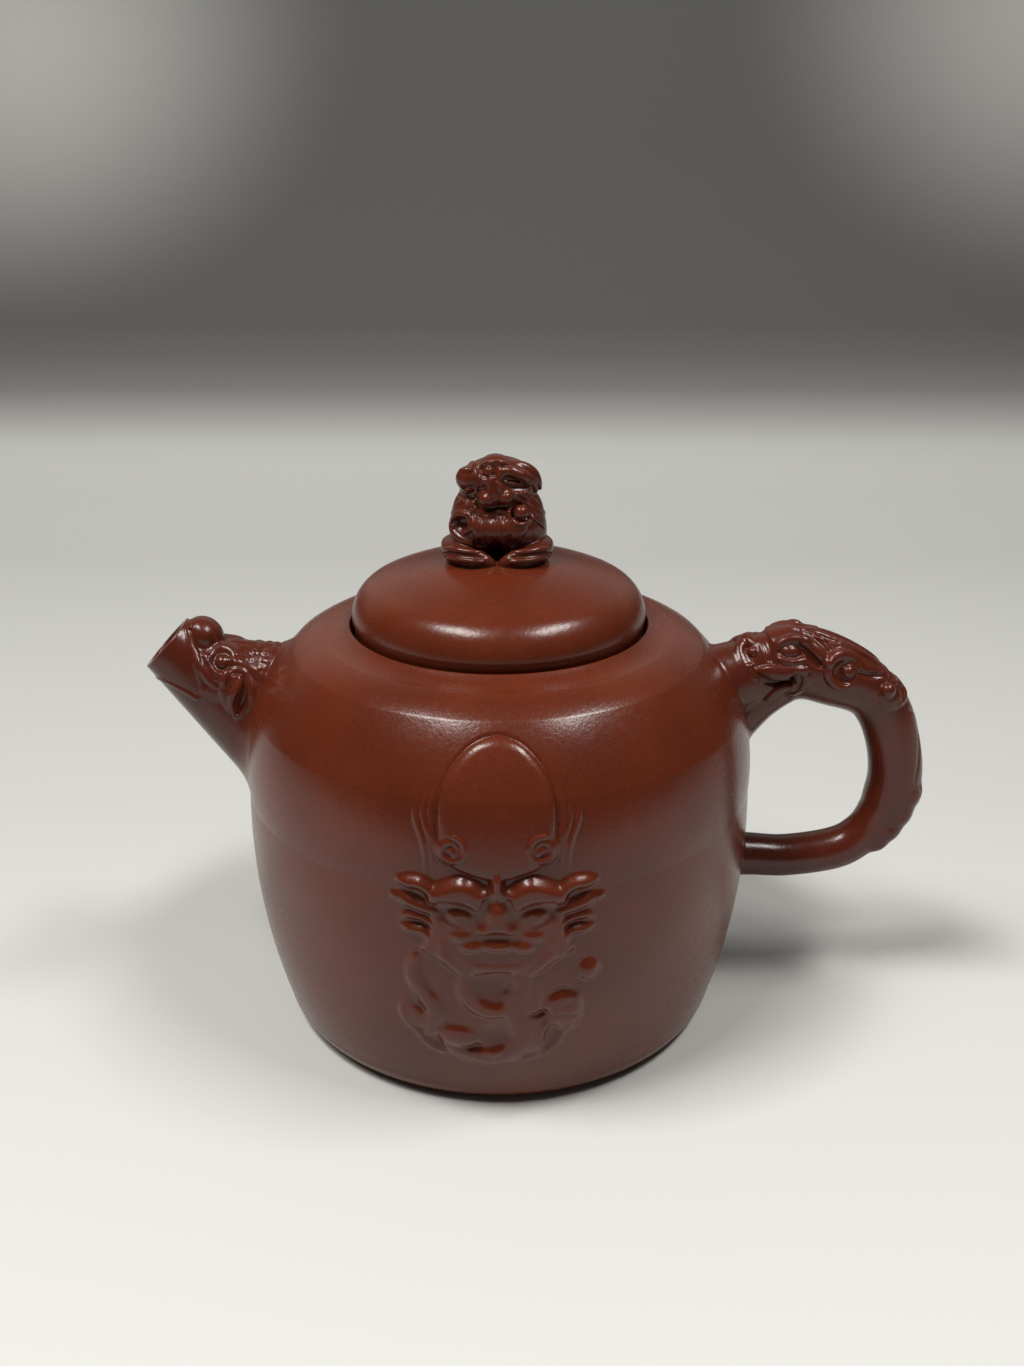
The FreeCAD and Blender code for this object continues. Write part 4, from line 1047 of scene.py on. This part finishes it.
def handle_mouth(clay):
    """Leaf-shaped upper lip, mouth, lower lip and its corner."""
    clay.emboss(front(7.5, (49.2, 73.3, 0.4), (51.2, 73, 1.2), (53.6, 72.6, 1.7), (55.6, 72.6, 1.5),
            (57.4, 73.1, 1.1), (59, 73.3, 0.7)), 1.5, crisp=0.5)
    clay.emboss(front(7.5, (50.6, 73.6, 0.4), (52.6, 74, 0.5), (56.2, 73.7, 0.5), (58.6, 73.6, 0.5)), 0.3)
    clay.emboss(front(6.5, (51.6, 70.2, 0.4), (53.6, 70.2, 1), (55.2, 70.3, 1.1), (56.8, 71, 0.8),
            (57.6, 71.9, 0.4)), -2, crisp=0.7)
    clay.roll(front(6.5, (52, 66.9, 0.6), (52.9, 67.8, 0.95), (54.4, 69, 1.05), (56, 70, 0.9),
            (57, 70.8, 0.5)), sink=0.1, softness=0.2)
    clay.emboss(front(7, (57.4, 73.2, 0.5), (58.6, 72.6, 0.9), (59.4, 71, 1.1), (58.6, 69.2, 0.9),
            (57, 68, 0.6)), 0.45, crisp=1.3)


def handle_eye(clay):
    """Eye between its lids."""
    clay.emboss(front(7, (54.2, 76.9, 1.4), (56, 77.1, 2.1), (58, 76.4, 1.4)), -1.4, crisp=0.9)
    eye = clay.pressed([(55.8, -7.0, 77.0)])[0]
    clay.lump(eye + (0, 0.5, -0.3), (2.3, 1.7, 1.6), lean=-8, softness=0.1)
    clay.roll(front(7, (53, 77.2, 0.4), (54, 78.8, 0.9), (55.7, 79.6, 1.15), (57.4, 79.3, 1.1),
            (58.6, 78.3, 0.8)), sink=0.3, softness=0.35)
    clay.roll(front(7, (53.2, 76.6, 0.4), (54.2, 75.5, 0.65), (55.9, 74.9, 0.75), (57.8, 75.1, 0.7),
            (59, 75.7, 0.4)), sink=0.45, softness=0.4)


def handle_brows(clay):
    """Long brows."""
    clay.emboss(front(7, (58.6, 77.4, 0.7), (59.9, 76.1, 1.2), (61.5, 74.7, 1.1), (63, 73.6, 0.5)), -1.6,
            crisp=0.8)
    clay.roll(front(6.5, (57.2, 79.6, 0.5), (58.7, 79, 1.1), (60.4, 77.6, 1.3), (62.4, 75.6, 1.15),
            (64, 73.9, 0.5)), sink=0.25, softness=0.3)
    clay.roll(front(5.5, (58.2, 80.5, 0.4), (60.2, 79.9, 0.8), (62, 78.4, 0.85), (63.8, 76.4, 0.6)),
            sink=0.35, softness=0.25)


def handle_hair(clay):
    """Hair that flows back over the bend in long ridges."""
    clay.emboss(front(4, (56, 80.6, 0.4), (58.6, 80.4, 0.9), (60.8, 80, 1), (64.8, 78.2, 1.05),
            (69.5, 75.9, 1.05), (72.4, 74.1, 1), (74.9, 71.6, 0.9), (75.9, 69.8, 0.5)), 0.65, crisp=0.7)
    clay.emboss(front(5, (60.7, 79.2, 0.35), (65.2, 77.5, 0.65), (68.7, 75.8, 0.7), (71.2, 74.2, 0.5)),
            0.45, crisp=0.8)
    clay.emboss(front(4.5, (61.6, 79.4, 0.3), (65.2, 77.9, 0.4), (69.2, 75.8, 0.45), (72.6, 73.8, 0.4),
            (74.4, 71.8, 0.3)), -0.45)
    clay.emboss(front(3, (60.2, 80.9, 0.4), (65.4, 79, 0.6), (70.2, 76.7, 0.6), (73.6, 74.3, 0.6),
            (76.6, 71.2, 0.5), (78.6, 67.8, 0.3)), -0.4)
    clay.emboss(front(6, (69.8, 74.6, 0.6), (72, 73.2, 1.2), (74.2, 71.4, 1.2), (75.4, 69.8, 0.8)), 0.55,
            crisp=1.2)


def handle_scroll(clay):
    """Scroll behind the jaw: a broad rolled rim round a recess with a ball in it."""
    clay.emboss(front(8, (66.4, 72.6, 2.6)), -0.9, crisp=0.8)
    clay.roll(front(7, (69.6, 73.6, 0.6), (68.5, 75.5, 1.05), (66.3, 76.4, 1.3), (64.3, 75.7, 1.35),
            (63.2, 73.7, 1.15), (63.6, 71.5, 0.95), (65.2, 69.8, 0.85), (67.4, 69.4, 0.6)), sink=0.25,
            softness=0.35)
    clay.ball(clay.pressed([(67, -8, 73)])[0] + (0, 0.4, 0), 1.45, softness=0.15)
    clay.emboss(front(6.5, (69.4, 72.3, 0.5), (70.9, 71.9, 0.7), (72.4, 71.7, 0.7), (74.2, 71.8, 0.5),
            (75, 71, 0.3)), -1.1, crisp=0.8)


def handle_second_scroll(clay):
    """Second scroll, on the bend."""
    clay.emboss(front(6.5, (76.3, 67.2, 2.8)), 0.9, crisp=0.6)
    clay.roll(front(6, (76, 70.2, 0.4), (77.6, 69.9, 0.7), (78.9, 68.2, 0.75), (78.9, 66.4, 0.6),
            (78, 65, 0.35)), sink=0.4, softness=0.3)
    clay.stud((75.4, -7, 68.9), 1.6, sink=0.25)


def handle_tail(clay):
    """Outer edge below the scroll, down to the tail fin."""
    clay.emboss(front(3, (82, 63, 0.5), (83.6, 57.8, 0.9), (84.2, 52.2, 0.9), (84, 47, 0.5)), -0.25,
            crisp=1.5)
    fin = (
        ((83, 0, 43.8), (3.3, 4.9, 4.2), -12),
        ((81.7, 0, 39.7), (3.2, 5, 4.6), -24),
        ((79.9, 0, 35.9), (2.9, 4.8, 4.2), -38),
        ((78, 0, 33), (2.4, 4.2, 3.2), -52),
    )
    for centre, halves, lean in fin:
        clay.lump(centre, halves, lean)
    for side in (1.1, 2.7):
        clay.emboss([(84.2, -side, 46, 0.4), (85.6, -side, 43.2, 0.6), (84.6, -side, 38.4, 0.6),
                (82.2, -side, 33.4, 0.4)], -0.45, crisp=0.9, seen=False)


def handle_mesh():
    """The ear-shaped handle and the head that swallows its top."""
    clay = Clay((36, -10.5, 21), (90, 0, 84), 0.22, mirrored_sides=True)
    for stations, softness in ((HANDLE_LINE, 0.5), (WEB_LINE, 1), (HEAD_LINE, 1.2), (NECK_LINE, 0.4)):
        clay.strand(middle_line(stations), softness, step=1)
    for shape in (handle_nose, handle_mouth, handle_eye, handle_brows, handle_hair, handle_scroll,
                  handle_second_scroll, handle_tail):
        shape(clay)
    clay.grow_from_wall(softness=1.2, web=2.5)
    return clay.skinned("handle_and_dragon_head", carved)


# knob: a crouching beast

def flipped(stations):
    return [(-x, y, z, radius) for x, y, z, radius in stations]


def seat_on_lid(clay):
    """Fillet the knob onto the lid and cut away what lies below it."""
    x, y, z = clay.cells()
    radii, heights = zip((0, LID_TOP), *arc((0, LID_TOP), LID_CROWN, LID_SLOPE, 0.5))
    lid_height = np.interp(np.sqrt(x ** 2 + y ** 2), radii, heights)
    own = clay.field.copy()
    sunk, under = 0.15, 1.0
    clay.join((slice(None),) * 3, (z - lid_height + sunk).astype(np.float32), 0.7)
    clay.field = np.maximum(clay.field, own - under)
    clay.field = np.maximum(clay.field, lid_height - under - z)


def knob_body(clay):
    """Crouching body with a bulging chest, and the head on it."""
    clay.strand([(-4, 0.4, 99, 5.3), (4, 0.4, 99, 5.2)], softness=0.8)
    clay.strand([(-3.4, 0.4, 102.6, 5.3), (3.3, 0.4, 102.6, 5.2)], softness=1.6)
    clay.strand([(-3.2, -1.7, 100, 4.4), (3.3, -1.7, 100, 4.4)], softness=0.6)
    clay.lump((0, 0.1, 107.8), (7.3, 5.5, 5.4), softness=1)
    clay.lump((-0.5, -1.3, 111.5), (3.1, 3.2, 2.4), softness=0.15)


def knob_left_eye(clay):
    """A large ball under a hood, with a bead at its corner."""
    clay.emboss(front(5, (-3.6, 111.4, 0.5), (-3.8, 109.6, 0.8), (-4, 107.6, 0.9), (-5.6, 106.7, 0.8),
            (-7.2, 107.2, 0.5)), -0.8)
    clay.ball((-5.55, -2.2, 109.5), 2.35, softness=0.25)
    clay.stud((-5.3, -5, 108.2), 0.6, sink=0.2)
    clay.roll(front(4, (-6.9, 111.6, 0.4), (-6, 112.6, 0.7), (-4.8, 112.7, 0.8), (-3.8, 112, 0.7),
            (-3.5, 110.6, 0.5), (-3.7, 109, 0.45), (-4, 107.4, 0.35)), sink=0.35, softness=0.3)


def knob_forehead(clay):
    """Forehead with ridges across, a frown and a wrinkle."""
    clay.emboss(front(4, (-3.3, 112.3, 0.3), (-2.2, 112.9, 0.45), (-0.4, 113.2, 0.45), (1.3, 112.9, 0.45),
            (2.2, 112.2, 0.3)), 0.35)
    clay.emboss(front(5, (-3.1, 111.8, 0.4), (-2, 112.3, 0.5), (-0.4, 112.4, 0.6), (1, 112.3, 0.5),
            (2, 111.7, 0.4)), -0.35)
    clay.stud((-1.8, -6, 111.7), 1, sink=0.25)
    clay.emboss(front(6, (-0.9, 112.9, 0.35), (-0.4, 112, 0.55), (-0.3, 111, 0.4)), -0.7, crisp=0.8)
    clay.emboss(front(6, (1, 112.9, 0.3), (0.3, 112.2, 0.45), (-0.1, 111.4, 0.3)), -0.6, crisp=0.8)
    clay.emboss(front(6, (-3.4, 110.7, 0.3), (-2.4, 110.1, 0.45), (-1.3, 110.1, 0.45), (-0.6, 110.6, 0.3)),
            0.45, crisp=0.8)
    clay.emboss(front(6, (-3.3, 108.4, 0.7), (-2.5, 108.3, 1), (-1.9, 108.4, 0.6)), -1)


def knob_right_eye(clay):
    """Deep under a thick lid, with the lower lid as a thin slit."""
    clay.emboss(front(6, (1.3, 109.9, 0.9), (3.1, 109.5, 1.7), (4.9, 109.1, 1.2)), -1.9, crisp=0.7)
    clay.roll(front(6, (1.2, 109.9, 0.25), (2.7, 109.4, 0.5), (4.5, 109.7, 0.3)), sink=-0.2, softness=0.1)
    clay.roll(front(6, (0.1, 110.3, 0.5), (0.3, 111.4, 0.9), (1.3, 111.9, 1), (2.9, 111.8, 1.05),
            (4.2, 110.9, 1), (5.6, 109.5, 0.6)), sink=0.3, softness=0.15)


def knob_tufts(clay):
    """Tufts over the right eye."""
    clay.strand([(1.9, -1.4, 111.8, 0.7), (4.2, -0.8, 111.3, 1.2), (6.1, -0.5, 110.1, 1.3),
            (7.1, -0.2, 108.5, 1.05), (7.7, 0, 107.2, 0.5)], softness=0.25)
    clay.strand([(2.6, -2.8, 111.2, 0.5), (4.6, -2.7, 110.5, 0.85), (6, -2.3, 109.2, 0.9),
            (6.9, -1.6, 107.2, 0.6)], softness=0.2)


def knob_nose(clay):
    """Bridge of the nose, nostril balls and tip."""
    clay.roll(front(6, (-1.2, 110.4, 0.6), (-1.3, 109.2, 0.8), (-1.5, 107.8, 0.9)), sink=0.3, softness=0.4)
    clay.roll(front(6, (-0.1, 109.6, 0.5), (0.4, 108.8, 0.65), (0.9, 107.9, 0.5)), sink=0.3, softness=0.2)
    clay.emboss(front(7, (-4, 107.2, 0.5), (-3.4, 105.6, 0.8), (-1.9, 105, 0.9), (-0.2, 105.4, 0.8),
            (1.6, 105.4, 0.8), (2.9, 106, 0.5)), -0.8)
    clay.ball((-2.1, -5, 106.2), 1.45, softness=0.4)
    clay.ball((1.4, -5.1, 106.6), 1.3, softness=0.4)
    clay.lump((-0.4, -4.6, 107), (0.9, 1.1, 1.9), softness=0.5)
    clay.roll(front(7, (-4.4, 106, 0.3), (-3.8, 104.7, 0.5), (-2.7, 104.1, 0.55), (-1.1, 104, 0.55),
            (0.2, 104.6, 0.5), (1.4, 104.3, 0.5), (2.5, 104.6, 0.35)), sink=0.2, softness=0.2)


def knob_mane(clay):
    """Mane that falls from the cheeks."""
    for drop, width in ((0.0, 0.75), (1.5, 0.8), (2.9, 0.6)):
        side = front(6, (-4.1, 107.6 - 0.9 * drop, 0.5 * width), (-5.8, 106.6 - drop, width),
                (-7.4, 105.3 - drop, width), (-8.6, 104.0 - drop, 0.5 * width))
        clay.emboss(side, 0.6, crisp=0.7)
        clay.emboss(flipped(side), 0.6, crisp=0.7)


def knob_left_curl(clay):
    """A ring round a hollow, with a tail down to the paw."""
    clay.emboss(front(6, (-6.8, 101.9, 1.6)), -1.5, crisp=0.8)
    clay.roll(front(6, (-4.4, 97.6, 0.5), (-5.6, 98.3, 0.8), (-7.1, 99, 0.95), (-8.3, 100.3, 0.85),
            (-8.6, 101.9, 0.7), (-8, 103.3, 0.65), (-6.8, 103.9, 0.7), (-5.5, 103.3, 0.75), (-5, 102, 0.7),
            (-5.3, 100.8, 0.6), (-6.2, 100.1, 0.35)), sink=0.2, softness=0.15)


def knob_chest(clay):
    """Lobes that run together downwards, with a pair of thin ridges in each valley."""
    lobes = (
        (-4.2, -3.9, -3.3, 1.15),
        (-2.2, -2.0, -1.7, 1.05),
        (0.0, -0.1, -0.3, 1.0),
        (1.85, 1.6, 0.9, 0.95),
        (3.9, 3.9, 3.0, 1.5),
    )
    for top, middle, bottom, width in lobes:
        clay.emboss(front(7, (top, 103.2, 0.7 * width), (middle, 101.2, width),
                (bottom, 98.6, 0.6 * width)), 0.75, crisp=0.5)
    for top, middle, bottom in ((-3.3, -3.0, -2.6), (-1.1, -1.0, -0.9), (0.8, 0.6, 0.2), (2.6, 2.4, 1.6)):
        for apart in (-0.2, 0.25):
            clay.emboss(front(7, (top + apart, 103.6, 0.2), (middle + 0.8 * apart, 101, 0.26),
                    (bottom, 98, 0.2)), 0.45, crisp=0.7)


def knob_right_curl(clay):
    """A ball in a thin ring."""
    clay.emboss(front(6.5, (4.1, 104.2, 2.2)), -0.5, crisp=0.7)
    clay.ball((4.2, -4.9, 103.7), 1.45, softness=0.1)
    clay.roll(front(6.5, (2.5, 105.4, 0.3), (1.9, 104.2, 0.45), (2.4, 102.7, 0.45), (3.9, 101.9, 0.45),
            (5.5, 102.3, 0.4), (6.4, 103.4, 0.3)), sink=0.2, softness=0.15)


def knob_claws(clay):
    """Claw balls in their recesses and the gap between the paws."""
    for across in (-3.4, 2.8):
        clay.emboss(front(7, (across, 98.1, 1.5)), -1, crisp=0.7)
        clay.stud((across, -7, 98.1), 0.85, sink=0)
    clay.emboss(front(7, (-0.4, 98.4, 0.9), (-0.4, 96.9, 1.5), (-0.4, 95.4, 1.6)), -2.6, crisp=0.7)


def knob_paws(clay):
    """Paws, flat and folded."""
    for side, shift in ((-1, 0.0), (1, -0.5)):
        paw = [(8.9, -0.2, 96, 2.1), (8.5, -2.8, 95.8, 2.1), (7.1, -4.9, 95.5, 2), (5, -6.1, 95.2, 1.85),
                (3.1, -6.5, 94.9, 1.6), (1.7, -6.6, 94.5, 1.1)]
        clay.strand([(side * x + shift, y, z, radius) for x, y, z, radius in paw], softness=0.4)
        for rise, height, width in ((0.9, 0.5, 0.6), (-0.1, -0.6, 0.5), (-1.1, 0.4, 0.6)):
            fold = front(7, (10.2, 96.6 + rise, 0.4 * width), (8.2, 96.4 + rise, width),
                    (6.2, 96.1 + rise, width), (4.2, 95.9 + rise, width), (2.6, 95.9 + rise, 0.4 * width))
            clay.emboss([(side * x + shift, y, z, radius) for x, y, z, radius in fold], height, crisp=0.8)


def knob_back(clay):
    """Haunches, spine and tail at the back."""
    clay.lump((-5.6, 2.6, 98), (3.4, 3.6, 4), softness=0.8)
    clay.lump((5.6, 2.6, 97.8), (3.4, 3.6, 4), softness=0.8)
    spine = 7
    for step in range(spine):
        clay.emboss([(0, 6, 111.6 - 13.0 * step / (spine - 1), 1.3)], 0.7, crisp=0.8, seen=False)
    for side in (-1, 1):
        for drop in (0.0, 2.2, 4.4):
            clay.emboss([(side * 1.8, 5.5, 109.6 - drop, 0.5), (side * 4.2, 4.6, 108.2 - drop, 0.9),
                    (side * 6.6, 2.6, 106.0 - drop, 0.5)], 0.5, crisp=0.8, seen=False)
    clay.strand([(0.4, 5.6, 96.4, 1.3), (2.8, 6.4, 97, 1.3), (4.2, 6, 99.4, 1.1), (3, 5.6, 101.4, 0.9),
            (1.6, 5.6, 100.6, 0.5)], softness=0.3)


def knob_mesh():
    """The crouching beast on the lid."""
    clay = Clay((-12.5, -10.5, 91), (12.5, 9.5, 116.5), 0.17)
    for shape in (knob_body, knob_left_eye, knob_forehead, knob_right_eye, knob_tufts, knob_nose,
                  knob_mane, knob_left_curl, knob_chest, knob_right_curl, knob_claws, knob_paws, knob_back):
        shape(clay)
    seat_on_lid(clay)
    return clay.skinned("knob_beast", carved)


pot = pot_mesh()
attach(pot, "pot")
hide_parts("body_wall", "shoulder_disc", "mouth_ring", "relief_mask", "relief_spirals", "relief_arch",
            "relief_horns", "relief_eyes", "relief_coil", "relief_clouds", "relief_pearl")

spout = spout_mesh()
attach(spout, "pot")
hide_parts("spout", "spout_dragon_head", "spout_head_beads")

handle = handle_mesh()
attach(handle, "pot")
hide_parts("handle", "handle_dragon_head", "handle_head_beads", "handle_tail_fin")

lid = lid_mesh()
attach(lid, "lid")
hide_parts("lid_dome", "lid_flange")

knob = knob_mesh()
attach(knob, "lid")
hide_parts("knob_beast_body", "knob_beast_head", "knob_paws", "knob_curls")

for node, material in (("base_disc", polished), ("strainer_dome", raw)):
    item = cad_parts[node]
    item.data.materials.clear()
    item.data.materials.append(material)


# floor, backdrop, lights and camera

WALL_TOP = 330.0
TABLE_TONE = (0.655, 0.665, 0.645)
WALL_TONES = (
    (0.0, TABLE_TONE),
    (6.0, (0.57, 0.58, 0.56)),
    (14.0, (0.38, 0.38, 0.37)),
    (24.0, (0.215, 0.215, 0.21)),
    (37.0, (0.150, 0.150, 0.146)),
    (52.0, (0.120, 0.120, 0.117)),
    (150.0, (0.120, 0.120, 0.117)),
    (245.0, (0.128, 0.128, 0.125)),
    (WALL_TOP, (0.60, 0.60, 0.57)),
)
# Painted pools of light on the wall: centre, reach and strength
WALL_LIGHT_POOLS = (((-310.0, 720.0, 215.0), 225.0, 1.0), ((355.0, 720.0, 240.0), 225.0, 0.95))
LIGHT_POOL_TONE = (0.52, 0.52, 0.50)
TABLE_NEAR, TABLE_FAR = -400.0, 600.0
# Painted light and shade on the table: shares of its tone by depth, darkest near the camera and dimmer behind
# the pot
TABLE_LIGHT_FALLOFF_SHARES = (
    (-400.0, 0.42),
    (-300.0, 0.52),
    (-200.0, 0.82),
    (-120.0, 1.0),
    (-10.0, 0.89),
    (80.0, 0.82),
    (300.0, 0.78),
    (390.0, 0.88),
    (480.0, 1.0),
)


def paper_tone(tree, place):
    """The tone by height on the wall, times a painted falloff of light by depth on the table."""
    parts = tree.nodes.new("ShaderNodeSeparateXYZ")
    tree.links.new(place, parts.inputs["Vector"])
    rising = mapped(tree, parts.outputs["Z"], 0.0, WALL_TOP * MM)
    tone = ramp(tree, rising, [(height / WALL_TOP, grey) for height, grey in WALL_TONES])
    depth = mapped(tree, parts.outputs["Y"], TABLE_NEAR * MM, TABLE_FAR * MM)
    span = TABLE_FAR - TABLE_NEAR
    light_falloff = ramp(tree, depth, [((y - TABLE_NEAR) / span, (share,) * 3) for y, share in TABLE_LIGHT_FALLOFF_SHARES])
    return mixed(tree, "MULTIPLY", 1, tone, light_falloff)


def paper_material():
    """Pale table that turns into a grey wall, with a painted falloff of light over the table and a painted
    pool of light at each side of the wall.
    """
    material, tree, shader, place = new_material("backdrop_paper")
    shader.inputs["Roughness"].default_value = 0.85
    shader.inputs["Specular IOR Level"].default_value = 0.15
    tone = paper_tone(tree, place)
    for centre, reach, strength in WALL_LIGHT_POOLS:
        away = tree.nodes.new("ShaderNodeVectorMath")
        away.operation = "DISTANCE"
        tree.links.new(place, away.inputs[0])
        away.inputs[1].default_value = [value * MM for value in centre]
        share = mapped(tree, away.outputs["Value"], 0.0, reach * MM, strength, 0.0)
        tone = mixed(tree, "MIX", share, tone, (*LIGHT_POOL_TONE, 1))
    tree.links.new(tone, shader.inputs["Base Color"])
    return material


def backdrop_mesh():
    """A floor that turns up into a wall behind the pot."""
    half_width, near, bend, radius, top, steps = 6000.0, -3000.0, 420.0, 300.0, 1900.0, 16
    section = [(near, 0.0), (bend, 0.0)]
    for step in range(1, steps + 1):
        angle = 0.5 * math.pi * step / steps
        section.append((bend + radius * math.sin(angle), radius * (1 - math.cos(angle))))
    section.append((bend + radius, top))
    points = [(side * half_width, depth, height) for depth, height in section for side in (-1, 1)]
    faces = [(2 * k, 2 * k + 1, 2 * k + 3, 2 * k + 2) for k in range(len(section) - 1)]
    return mesh_object("backdrop", points, faces, paper_material())


backdrop_mesh()


LAMP_AIM = Vector((0, 0, 0.05))
WORLD_TONE, WORLD_STRENGTH = (1, 0.98, 0.95, 1), 0.045


def soft_lamp(name, direction, distance, width, height, power, colour):
    """A rectangle of light at a distance in metres from the pot's middle, facing it."""
    data = bpy.data.lights.new(name, "AREA")
    data.shape = "RECTANGLE"
    data.size, data.size_y = width, height
    data.energy = power
    data.color = colour
    lamp = bpy.data.objects.new(name, data)
    bpy.context.scene.collection.objects.link(lamp)
    aim = Vector(direction).normalized()
    lamp.location = LAMP_AIM + aim * distance
    lamp.rotation_mode = "QUATERNION"
    lamp.rotation_quaternion = aim.to_track_quat("Z", "Y")
    return lamp


soft_lamp("left_softbox", (-0.62, -0.40, 1.72), 0.8, 0.34, 0.14, 4.0, (1.0, 0.97, 0.94))
soft_lamp("right_softbox", (1.05, -0.35, 2.10), 0.8, 0.34, 0.14, 3.7, (1.0, 0.97, 0.94))
ceiling_panel = soft_lamp("ceiling_panel", (-0.55, -0.25, 1.0), 1.3, 0.4, 0.4, 6.2, (1.0, 0.98, 0.95))
ceiling_panel.visible_glossy = False


def room_light():
    """A faint even light from all round."""
    world = bpy.data.worlds.new("room")
    world.use_nodes = True
    background = world.node_tree.nodes["Background"]
    background.inputs["Color"].default_value = WORLD_TONE
    background.inputs["Strength"].default_value = WORLD_STRENGTH
    bpy.context.scene.world = world


def photo_camera():
    """The camera that the photo was taken with, as fitted to the pot's outline."""
    data = bpy.data.cameras.new("camera")
    data.sensor_width = SENSOR
    data.lens = SENSOR * FOCAL_PIXELS / IMAGE_LONG_SIDE
    data.clip_start, data.clip_end = CLIP_DISTANCES
    camera = bpy.data.objects.new("camera", data)
    bpy.context.scene.collection.objects.link(camera)
    camera.location = Vector(CAMERA_PLACE) * MM
    camera.rotation_euler = (math.radians(90 - CAMERA_PITCH), 0, 0)
    bpy.context.scene.camera = camera


room_light()
photo_camera()
bpy.context.scene.view_settings.view_transform = "Standard"
